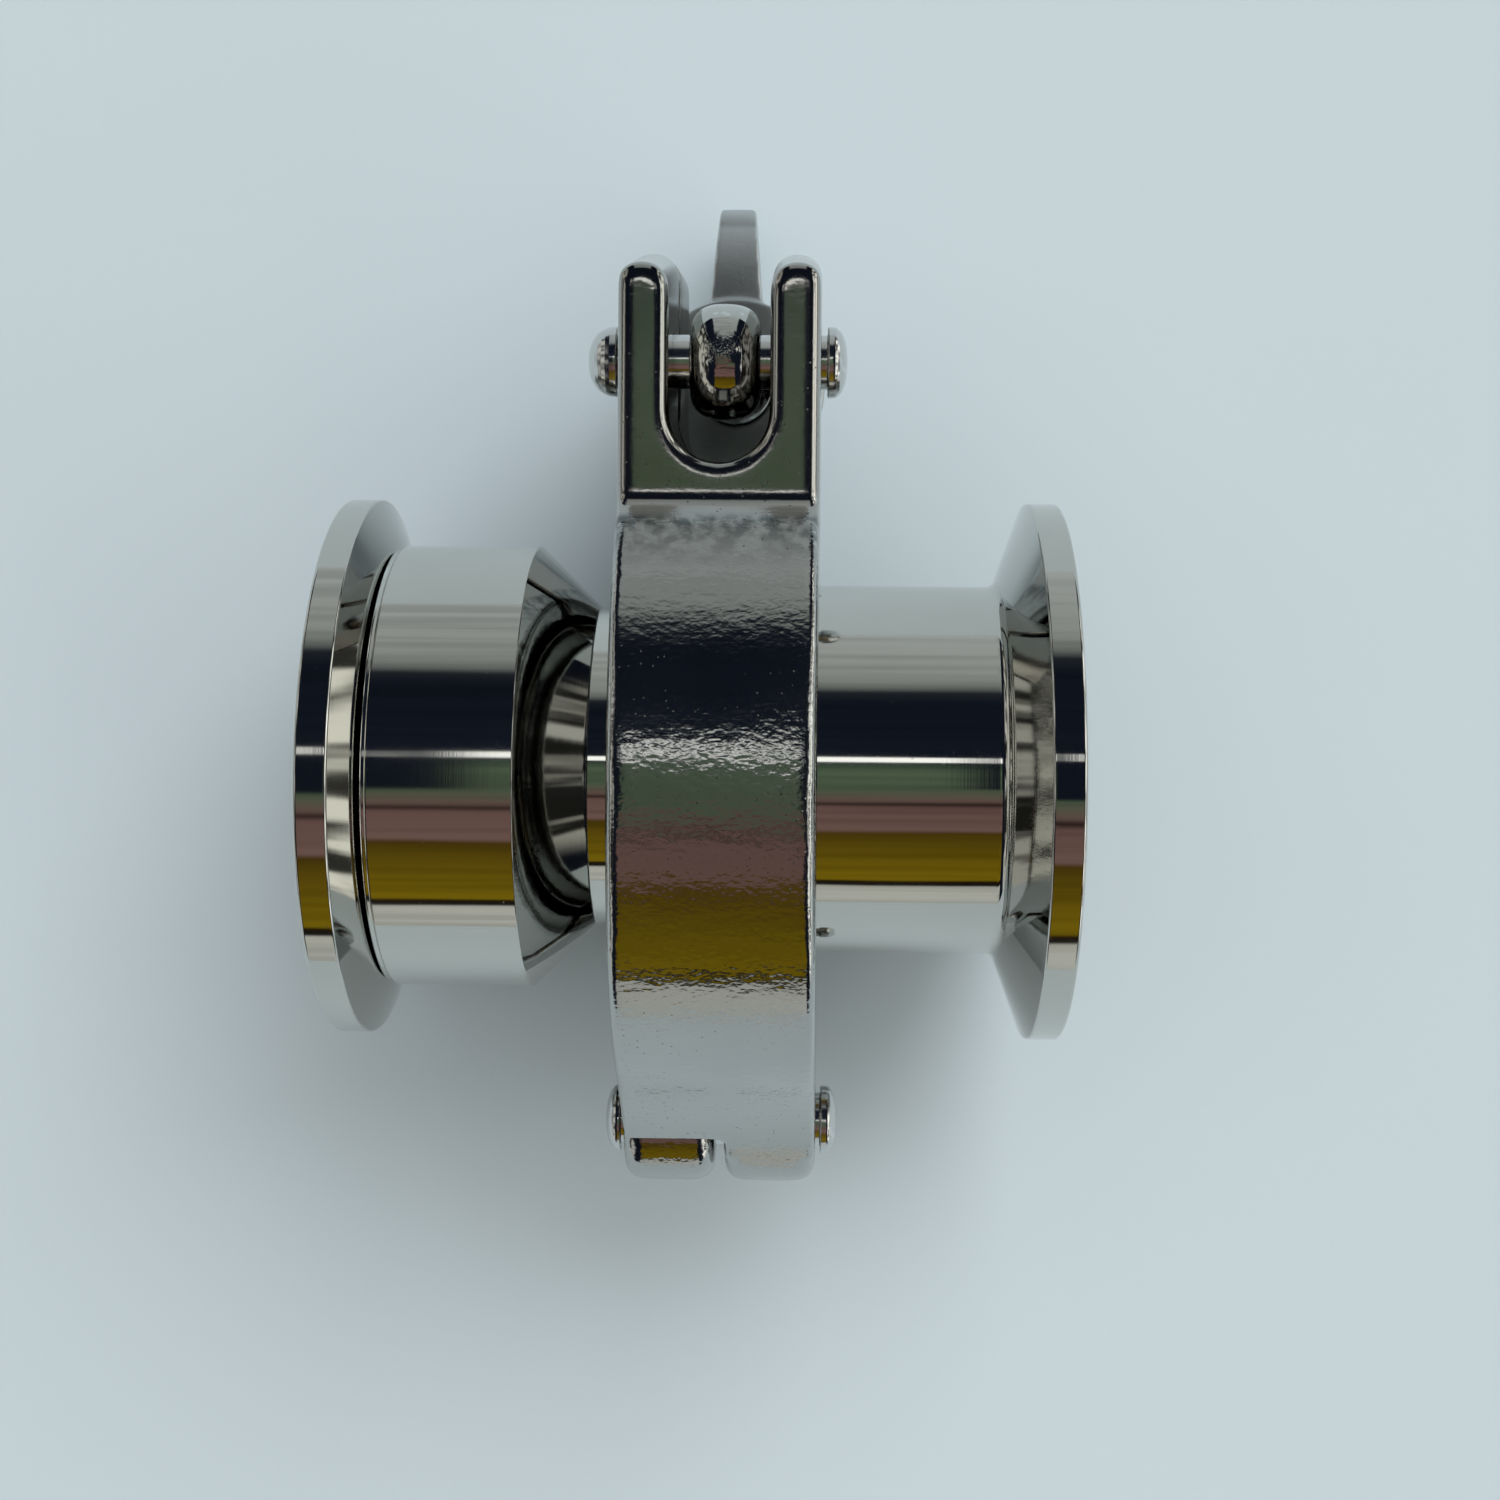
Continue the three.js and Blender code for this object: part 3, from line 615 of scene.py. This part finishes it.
def hex_nut(x0, thick, bore=STEM_R + 0.07, flats=10.0):
    across = flats / math.sqrt(3)
    corners = [(across * math.cos(math.radians(60 * k)), across * math.sin(math.radians(60 * k)))
               for k in range(6)]
    cone = across * 0.985
    rim = 0.55
    turned_blank = raw_lathe([(x0, 0), (x0, cone - 2 * rim), (x0 + rim, cone + 0.05),
                              (x0 + thick - rim, cone + 0.05),
                              (x0 + thick, cone - 2 * rim), (x0 + thick, 0)], AROUND_SMALL)
    hole = raw_lathe([(x0 - 1, 0), (x0 - 1, bore + 1.2), (x0 + 0.7, bore), (x0 + thick - 0.7, bore),
                      (x0 + thick + 1, bore + 1.2), (x0 + thick + 1, 0)], AROUND_SMALL)
    return carve(prism(corners, x0 - 0.01, x0 + thick + 0.01),
                 [("INTERSECT", turned_blank), ("DIFFERENCE", hole)])


def faceted(name, mesh, matrix=VALVE_FRAME, width=0.12):
    """A machined solid with small bevels on its sharp edges."""
    piece = place(name, mesh, matrix)
    bevel = piece.modifiers.new("edges", "BEVEL")
    bevel.width, bevel.segments, bevel.limit_method = width * MM, 2, "ANGLE"
    bevel.angle_limit = math.radians(25)
    bevel.harden_normals = True
    piece.data.set_sharp_from_angle(angle=math.radians(25))
    return piece


def spring_mesh(turn_steps=48, wire_sides=20):
    low, high = SPRING_START + SPRING_WIRE + 0.05, SPRING_END - SPRING_WIRE - 0.05
    steps = int(SPRING_TURNS * turn_steps)
    verts = []
    for i in range(steps + 1):
        t = i / steps
        turn = 2 * math.pi * SPRING_TURNS * t
        x = low + (high - low) * min(1.0, max(0.0, (t - 0.12) / 0.76))
        radial = Vector((0.0, math.cos(turn), math.sin(turn)))
        for k in range(wire_sides):
            a = 2 * math.pi * k / wire_sides
            p = Vector((x, 0, 0)) + radial * (SPRING_MEAN + SPRING_WIRE * math.cos(a))
            verts.append(p + Vector((SPRING_WIRE * math.sin(a), 0, 0)))
    faces = [(i * wire_sides + k, i * wire_sides + (k + 1) % wire_sides,
              (i + 1) * wire_sides + (k + 1) % wire_sides, (i + 1) * wire_sides + k)
             for i in range(steps) for k in range(wire_sides)]
    faces += [tuple(range(wire_sides)), tuple(range(len(verts) - 1, len(verts) - wire_sides - 1, -1))]
    mesh = bpy.data.meshes.new("spring")
    mesh.from_pydata(verts, [], faces)
    return outward(mesh)


def build_inside():
    start = UNION_FACE + 0.05
    play = STEM_R + 0.07
    stand_in(place("guide_spider_cast", guide_spider(), VALVE_FRAME), "guide_spider")
    stand_in(turned("guide_bush_turned", [
        (start, play), (start, 4.0, 0.2), (HUB_END, 4.0), (HUB_END, 5.5, 0.2), (SPRING_START, 5.5, 0.2),
        (SPRING_START, play)], sides=AROUND_SMALL), "guide_bush")
    smooth_stem = lathe_mesh([(-19.4, 0), (-19.4, STEM_R), (DISC_FRONT, STEM_R), (DISC_FRONT, 5.0, 0.2),
                              (-11.2, 5.0, 0.4), (-11.2, STEM_R, 0.3), (19.2, STEM_R), (19.2, 0)],
                             AROUND_SMALL)[0]
    stem = joined([smooth_stem, threaded(-25.3, -19.0, STEM_R, 1.0), threaded(19.0, 27.2, STEM_R, 1.0)])
    stem_piece = place("poppet_stem_turned", stem, VALVE_FRAME)
    stem_piece.data.set_sharp_from_angle(angle=math.radians(50))
    stand_in(stem_piece, "poppet_stem")
    stand_in(turned("poppet_disc_turned", [
        (DISC_BACK, play), (DISC_BACK, 13.95), (-14.75, 13.95), (-14.75, 14.55, 0.2), (-13.9, 14.3, 0.2),
        (DISC_FRONT, 12.6, 0.4), (DISC_FRONT, play)]), "poppet_disc")
    ring = [(O_RING_X + O_RING_SECTION * math.sin(a), O_RING_R + O_RING_SECTION * math.cos(a), 0.4)
            for a in (2 * math.pi * k / 12 for k in range(12))]
    stand_in(turned("seat_o_ring_moulded", ring), "seat_o_ring")
    stand_in(turned("retainer_plate_turned", [
        (-19.6, play), (-19.6, 17.2, 0.6), (DISC_BACK, 17.2, 0.3), (DISC_BACK, play)]), "retainer_plate")
    stand_in(turned("spring_washer", tube_profile(SPRING_END, SPRING_END + 1, 5.4, play), sides=AROUND_SMALL),
             "spring_washer_plate")
    for node, x0, thick in (("retainer_nut", -24.4, 4.8), ("stem_nut", SPRING_END + 1, 3.2),
                            ("stem_lock_nut", SPRING_END + 4.2, 3.2)):
        stand_in(faceted(node + "_hex", hex_nut(x0, thick)), node)
    spring = stand_in(place("return_spring_wire", spring_mesh(), VALVE_FRAME), "return_spring")
    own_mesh(spring)


# ---- clamp -----------------------------------------------------------------------------------------
def half_outline():
    """Side view of a clamp half in (Y, Z): ring, fork, and the hollow curve into the lug."""
    fork_root = math.degrees(math.asin(FORK_FACE / CLAMP_R))
    ring_end, lug_start = 150, 118
    lug_top = (HINGE_Y + LUG_R * math.cos(math.radians(lug_start)),
               LUG_R * math.sin(math.radians(lug_start)))
    ring = arc(0, 0, CLAMP_R, fork_root, ring_end, 120)
    return [(0, PARTING), (FORK_TIP_ROOT + 6, PARTING), (FORK_TIP_ROOT + 6, FORK_FACE), *ring,
            *bend(ring[-1], (HINGE_Y + 2.4, 7.8), lug_top)[1:], (HINGE_Y, PARTING)]


def prong_plan():
    """Prongs from above, in (X, Y), with rounded ends; the tips lie at the hinge plane."""
    r = 2.2
    left, right = -CLAMP_ROOT - 0.02, -SLOT_HALF
    tip = FORK_TIP_ROOT + 0.2
    prong = [(left, -60.0), (left, tip - r)] + arc(left + r, tip - r, r, 180, 90, 8)[1:] \
        + arc(right - r, tip - r, r, 90, 0, 8) + [(right, SLOT_FLOOR + 2 * SLOT_HALF)]
    return prong + [(-x, y) for x, y in reversed(prong)]


def hinge_plan():
    """The casting from above, rounded at the hinge end."""
    half, end, r = CLAMP_ROOT + 0.02, HINGE_Y - LUG_R, LUG_CORNER
    corner = [(-half, 60.0), (-half, end + r)] + arc(-half + r, end + r, r, 180, 270, 8)[1:]
    return corner + [(-x, y) for x, y in reversed(corner)]


def clamp_hollow():
    floor = FLANGE_R + CLAMP_GAP
    rim = UNION_FACE + RIM + CLAMP_GAP / math.cos(math.radians(20))
    lip = rim + (floor - CLAMP_LIP) * SLOPE
    return [(-20, 0), (-20, CLAMP_LIP), (-lip, CLAMP_LIP), (-rim, floor), (rim, floor), (lip, CLAMP_LIP),
            (20, CLAMP_LIP), (20, 0)]


def draft_wedge():
    under_fork_shade = CLAMP_ROOT + (CLAMP_ROOT - CLAMP_CREST) * (LUG_R + 2) / CLAMP_R
    outline = [(-CLAMP_ROOT, 0), (-under_fork_shade, -LUG_R - 2), (under_fork_shade, -LUG_R - 2), (CLAMP_ROOT, 0),
               (CLAMP_CREST, CLAMP_R + 0.1), (-CLAMP_CREST, CLAMP_R + 0.1)]
    return prism(outline, -50.0, 60.0, "xzy")


def clamp_half(fork_tip, with_fork_bore):
    lean = -(FORK_TIP_ROOT - fork_tip) / (FORK_FACE - PARTING)
    depth = 45.0
    plan = prism(prong_plan(), PARTING - 12, PARTING - 12 + depth, "xyz", (0.0, lean * depth))
    shifted(plan, y=-12 * lean)
    slot = arc(0, SLOT_FLOOR + SLOT_HALF, SLOT_HALF, 180, 360, 48) + [(SLOT_HALF, 60), (-SLOT_HALF, 60)]
    lug = [(LUG_GAP, 0), (LUG_GAP, LUG_R, 1.7), (CLAMP_ROOT, LUG_R, 1.7), (CLAMP_ROOT, 0)]
    relief = [(-12, 0), (-12, LUG_RELIEF), (LUG_GAP, LUG_RELIEF), (LUG_GAP, 0)]
    bore = [(-14, 0), (-14, HINGE_PIN_R + 0.1), (14, HINGE_PIN_R + 0.1), (14, 0)]
    steps = [
        ("UNION", shifted(raw_lathe(lug, AROUND_SMALL), y=HINGE_Y)),
        ("INTERSECT", draft_wedge()),
        ("INTERSECT", plan),
        ("INTERSECT", prism(hinge_plan(), -20.0, 40.0, "xyz")),
        ("DIFFERENCE", shifted(raw_lathe(relief, AROUND), y=HINGE_Y)),
        ("DIFFERENCE", prism(slot, -3.0, FORK_FACE + 12, "xyz")),
        ("DIFFERENCE", raw_lathe(clamp_hollow(), AROUND)),
    ]
    drilled = [("DIFFERENCE", shifted(raw_lathe(bore, AROUND_SMALL), y=HINGE_Y))]
    if with_fork_bore:
        fork_bore = [(-14, 0), (-14, FORK_PIN_R + BORE_PLAY), (14, FORK_PIN_R + BORE_PLAY), (14, 0)]
        drill = shifted(raw_lathe(fork_bore, AROUND_SMALL), y=FORK_PIN_Y, z=FORK_PIN_Z)
        drilled.append(("DIFFERENCE", drill))
    body = carve(prism(half_outline(), -12.0, 12.0), steps)
    grain, passes = ((0.24, 66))
    return carve(cast(body, grain, passes), drilled)


def swing_bolt():
    flat = 2.7                          # radius where the eye's round back meets its cheeks
    eye = [(-EYE_HALF, 0)]
    for i in range(33):
        x = -EYE_HALF * math.cos(math.pi * i / 32)
        bulge = max(0.0, 1 - abs(x / EYE_HALF) ** 2.4) ** (1 / 2.4)
        eye.append((x, flat + (EYE_R - flat) * bulge, 0.5))
    eye.append((EYE_HALF, 0))
    neck = raw_lathe([(0, 0), (0, EYE_HALF), (THREAD_START + 0.6, EYE_HALF), (THREAD_START + 0.6, 0)],
                     AROUND_SMALL)
    neck.transform(Matrix.Rotation(math.pi / 2, 4, "Y"))
    bore = [(-9, 0), (-9, FORK_PIN_R + BORE_PLAY), (9, FORK_PIN_R + BORE_PLAY), (9, 0)]
    head = carve(raw_lathe(eye, AROUND_SMALL), [
        ("UNION", neck), ("DIFFERENCE", raw_lathe(bore, AROUND_SMALL))])
    head = cast(head, 0.18, 5)
    thread = threaded(THREAD_START, FORK_PIN_Z - BOLT_END, BOLT_R + THREAD_CREST, THREAD_PITCH)
    thread.transform(Matrix.Rotation(math.pi / 2, 4, "Y"))
    return shifted(joined([head, thread]), BOLT_X, FORK_PIN_Y, FORK_PIN_Z)


def wing_outline():
    """A wing from the side: distance from the bolt's axis, and Z."""
    return [(3, -21.8), (9, -22.1), *bend((9, -22.1), (14.5, -23.2), (17.6, -26.3))[1:],
            *bend((17.6, -26.3), (20.2, -27.8), (19.88, -30.2))[1:],
            *bend((19.88, -30.2), (19.8, -33.4), (17.4, -33.4))[1:],
            *bend((17.4, -33.4), (14.2, -32.9), (11, -30.6))[1:], (3, -30.6)]


def wing_nut():
    hub = raw_lathe([(-NUT_FACE, 0), (-NUT_FACE, NUT_R, 0.3), (-NUT_FACE + 1.6, NUT_R, 0.5),
                     (-NUT_FACE + 2.4, 6.8, 0.3), (-NUT_END, 5.8, 0.8), (-NUT_END, 0)], AROUND_SMALL)
    hub.transform(Matrix.Rotation(math.pi / 2, 4, "Y"))
    steps = []
    for side in (0, math.pi):
        blade = prism(wing_outline(), -5.0, 5.0)
        taper = prism([(-3.3, 3), (-1.85, 20.5), (1.85, 20.5), (3.3, 3)], -36.0, -18.0, "xyz")
        wing = carve(blade, [("INTERSECT", taper)])
        wing.transform(Matrix.Rotation(side, 4, "Z"))
        steps.append(("UNION", wing))
    bore = raw_lathe([(15, 0), (15, BOLT_R + 0.37), (36, BOLT_R + 0.37), (36, 0)], AROUND_SMALL)
    bore.transform(Matrix.Rotation(math.pi / 2, 4, "Y"))
    steps.append(("DIFFERENCE", bore))
    return shifted(cast(carve(hub, steps), 0.22, 14), BOLT_X, FORK_PIN_Y, 0)


def dome(foot, tip, radius, collar):
    """Half outline of a domed pin head between its foot and its tip; the collar is the share of
    its height that stays straight. Listed from left to right."""
    start = foot + (tip - foot) * collar
    curve = [(start + (tip - start) * math.sin(math.pi / 2 * i / 10),
              radius * math.cos(math.pi / 2 * i / 10) ** 0.8, 0.4) for i in range(10)] + [(tip, 0)]
    head = [(foot, radius, 0.15)] + curve
    return head if tip > foot else head[::-1]


def build_clamp():
    stand_in(place("clamp_half_front_cast", clamp_half(FORK_TIP, True), CLAMP_FRAME), "clamp_half_front")
    turned_round = CLAMP_FRAME @ Matrix.Rotation(math.pi, 4, "Y")
    stand_in(place("clamp_half_rear_cast", clamp_half(REAR_TIP, False), turned_round), "clamp_half_rear")
    hinge_pin = [*dome(-9.5, -11.0, 3.15, 0.15), (-9.5, HINGE_PIN_R, 0.1),
                 (9.5, HINGE_PIN_R, 0.1), *dome(9.5, 11.1, 3.15, 0.35)]
    stand_in(turned("hinge_pin_turned", hinge_pin, CLAMP_FRAME, (0, HINGE_Y, 0), AROUND_SMALL), "hinge_pin")
    fork_pin = [*dome(-9.4, -12.1, 3.15, 0.1), (-9.4, FORK_PIN_R, 0.1),
                (9.5, FORK_PIN_R, 0.1), *dome(9.5, 11.3, 3.2, 0.25)]
    fork_pin_at = (0, FORK_PIN_Y, FORK_PIN_Z)
    stand_in(turned("swing_bolt_pin_turned", fork_pin, CLAMP_FRAME, fork_pin_at, AROUND_SMALL),
             "swing_bolt_pin")
    bolt = place("swing_bolt_cast", swing_bolt(), CLAMP_FRAME)
    bolt.data.set_sharp_from_angle(angle=math.radians(60))
    stand_in(bolt, "swing_bolt")
    stand_in(place("wing_nut_cast", wing_nut(), CLAMP_FRAME), "wing_nut")


# ---- stage -------------------------------------------------------------------------------------------
def build_floor():
    mesh = bpy.data.meshes.new("floor")
    reach = 4.0
    mesh.from_pydata([(-reach, -reach, 0), (reach, -reach, 0), (reach, reach, 0), (-reach, reach, 0)], [],
                     [(0, 1, 2, 3)])
    floor = bpy.data.objects.new("floor", mesh)
    bpy.context.scene.collection.objects.link(floor)
    m = Nodes("floor_paper")
    cloud = m.noise(6.0, 3.0)
    colour = m.blend(cloud, (0.585, 0.685, 0.735), (0.615, 0.71, 0.76))
    mesh.materials.append(m.finish(colour, m.ranged(cloud, 0.0, 1.0, 0.7, 0.8), None, metallic=0.0))


def band_ramp(nodes, links, angle, stops):
    """Colours by angle off the zenith, from -90 to 90 degrees; each stop is (degrees, colour)."""
    share = nodes.new("ShaderNodeMapRange")
    share.inputs["From Min"].default_value, share.inputs["From Max"].default_value = -math.pi / 2, math.pi / 2
    links.new(angle, share.inputs["Value"])
    ramp = nodes.new("ShaderNodeValToRGB")
    elements = ramp.color_ramp.elements
    while len(elements) > 1:
        elements.remove(elements[-1])
    for i, (degrees, colour) in enumerate(stops):
        at = (degrees + 90) / 180
        element = elements[0] if i == 0 else elements.new(at)
        element.position, element.color = at, (*colour, 1.0)
    links.new(share.outputs["Result"], ramp.inputs["Fac"])
    return ramp.outputs["Color"]


def build_world():
    """A studio above a pale table: dark overhead, with a lamp strip near the zenith and dim
    coloured cards beside it, and bright panels high up to both sides."""
    world = bpy.data.worlds.new("studio")
    bpy.context.scene.world = world
    world.use_nodes = True
    nodes, links = world.node_tree.nodes, world.node_tree.links

    def step(operation, a, b=None):
        node = nodes.new("ShaderNodeMath")
        node.operation = operation
        for socket, value in zip(node.inputs, (a, b)):
            if isinstance(value, (int, float)):
                socket.default_value = value
            elif value is not None:
                links.new(value, socket)
        return node.outputs[0]

    def ranged(source, low, high, new_low, new_high):
        node = nodes.new("ShaderNodeMapRange")
        node.interpolation_type = "SMOOTHSTEP"
        for key, value in (("From Min", low), ("From Max", high), ("To Min", new_low), ("To Max", new_high)):
            node.inputs[key].default_value = value
        links.new(source, node.inputs["Value"])
        return node.outputs["Result"]

    direction = nodes.new("ShaderNodeSeparateXYZ")
    links.new(nodes.new("ShaderNodeTexCoord").outputs["Generated"], direction.inputs[0])
    x, y, z = direction.outputs
    height = step("MAXIMUM", z, 0.001)
    around = step("ARCTAN2", y, height)

    def streaks(across, along, detail):
        """Noise that is drawn out along X; across and along are its scales."""
        place = nodes.new("ShaderNodeCombineXYZ")
        links.new(step("MULTIPLY", x, along), place.inputs[0])
        links.new(step("MULTIPLY", around, across), place.inputs[1])
        noise = nodes.new("ShaderNodeTexNoise")
        noise.inputs["Scale"].default_value, noise.inputs["Detail"].default_value = 1.0, detail
        links.new(place.outputs[0], noise.inputs["Vector"])
        return noise.outputs["Fac"]

    def layer(under, colour, mask, blend="MIX"):
        mixed = nodes.new("ShaderNodeMix")
        mixed.data_type, mixed.blend_type = "RGBA", blend
        for socket, value in zip((mixed.inputs[0], mixed.inputs[6], mixed.inputs[7]), (mask, under, colour)):
            if isinstance(value, tuple):
                socket.default_value = (*value, 1.0)
            elif isinstance(value, (int, float)):
                socket.default_value = value
            else:
                links.new(value, socket)
        return mixed.outputs[2]

    wobble = step("SUBTRACT", streaks(3.0, 9.0, 3.0), 0.5)
    wavy = step("ADD", around, step("MULTIPLY", wobble, math.radians(3)))
    colour = band_ramp(nodes, links, wavy, [
        (-90, (0.60, 0.62, 0.58)), (-77, (0.60, 0.60, 0.55)), (-76, (0.01, 0.01, 0.01)),
        (-73, (0.02, 0.012, 0.004)), (-72, (0.25, 0.17, 0.006)), (-52, (0.16, 0.105, 0.006)),
        (-40, (0.09, 0.055, 0.006)), (-38, (0.22, 0.13, 0.115)), (-24, (0.18, 0.105, 0.095)),
        (-22, (0.03, 0.016, 0.014)), (-20, (0.17, 0.11, 0.095)), (-13, (0.10, 0.14, 0.09)),
        (-3, (0.11, 0.16, 0.10)), (2, (0.05, 0.08, 0.055)), (3, (0.01, 0.014, 0.025)),
        (41, (0.008, 0.011, 0.02)), (47, (0.022, 0.027, 0.036)), (51, (0.25, 0.27, 0.26)),
        (59, (0.38, 0.41, 0.40)), (90, (0.50, 0.54, 0.54))])
    colour = layer(colour, ranged(streaks(13.0, 3.0, 2.0), 0.3, 0.6, 0.82, 1.05), 1.0, "MULTIPLY")
    night = (0.008, 0.011, 0.02)
    card = step("MULTIPLY", ranged(x, -0.17, -0.14, 0.0, 1.0), ranged(x, 0.07, 0.1, 1.0, 0.0))
    beside = step("MULTIPLY", step("SUBTRACT", 1.0, card), ranged(around, -0.24, -0.2, 0.0, 1.0))
    over = ranged(around, 0.05, 0.1, 1.0, 0.0)
    colour = layer(colour, night, step("MULTIPLY", beside, over))
    lamp = step("MULTIPLY", ranged(around, 0.055, 0.065, 0.0, 1.0), ranged(around, 0.105, 0.115, 1.0, 0.0))
    broken = step("MAXIMUM", card, ranged(streaks(2.0, 60.0, 2.0), 0.45, 0.6, 0.03, 0.6))
    colour = layer(colour, (1.7, 1.7, 1.66), step("MULTIPLY", lamp, broken))
    blobs = nodes.new("ShaderNodeTexNoise")
    blobs.inputs["Scale"].default_value, blobs.inputs["Detail"].default_value = 4.0, 2.5
    links.new(nodes["Texture Coordinate"].outputs["Generated"], blobs.inputs["Vector"])
    shade = ranged(blobs.outputs["Fac"], 0.42, 0.54, 0.06, PANEL_LIGHT)
    light = step("MULTIPLY", shade, ranged(x, -0.2, 0.2, 0.4, 1.0))
    panel = layer((1.0, 0.995, 0.93), light, 1.0, "MULTIPLY")
    wide = step("ABSOLUTE", x)
    colour = layer(colour, night, ranged(wide, 0.25, 0.29, 0.0, 1.0))
    colour = layer(colour, panel, ranged(wide, 0.5, 0.6, 0.0, 1.0))
    colour = layer(colour, (0.3, 0.32, 0.32), ranged(wide, 0.93, 0.99, 0.0, 1.0))
    background = nodes["Background"]
    links.new(colour, background.inputs["Color"])
    background.inputs["Strength"].default_value = 1.0


def build_lamps():
    """Two soft lamps: each is (name, the way towards it, its width in degrees, its power)."""
    for name, towards, spread, power in (("key", (0.45, 0.8, 0.9), 40, 1.55),
                                         ("fill", (0.0, 0.15, 1.0), 80, 1.05)):
        lamp = bpy.data.lights.new(name, "SUN")
        lamp.energy, lamp.angle = power, math.radians(spread)
        holder = bpy.data.objects.new(name, lamp)
        holder.rotation_mode = "QUATERNION"
        holder.rotation_quaternion = Vector(towards).to_track_quat("Z", "Y")
        holder.visible_glossy = False
        bpy.context.scene.collection.objects.link(holder)


def build_camera():
    """The view from above, close by, with the pipe level in the frame."""
    data = bpy.data.cameras.new("camera")
    data.sensor_width, data.lens, data.shift_y = SENSOR, LENS, LENS_SHIFT
    camera = bpy.data.objects.new("camera", data)
    about_x, about_y, about_z = (Matrix.Rotation(t, 3, axis) for t, axis in zip(VIEW_TURNS, "XYZ"))
    turn = about_z @ about_y @ about_x
    stand = Matrix.Translation(PIPE + Vector(VIEW_POINT) * MM)
    camera.matrix_world = stand @ turn.transposed().to_4x4()
    bpy.context.scene.collection.objects.link(camera)
    bpy.context.scene.camera = camera


build_bodies()
build_inside()
build_clamp()
build_floor()
build_world()
build_lamps()
build_camera()
bpy.context.scene.view_settings.view_transform = "Standard"
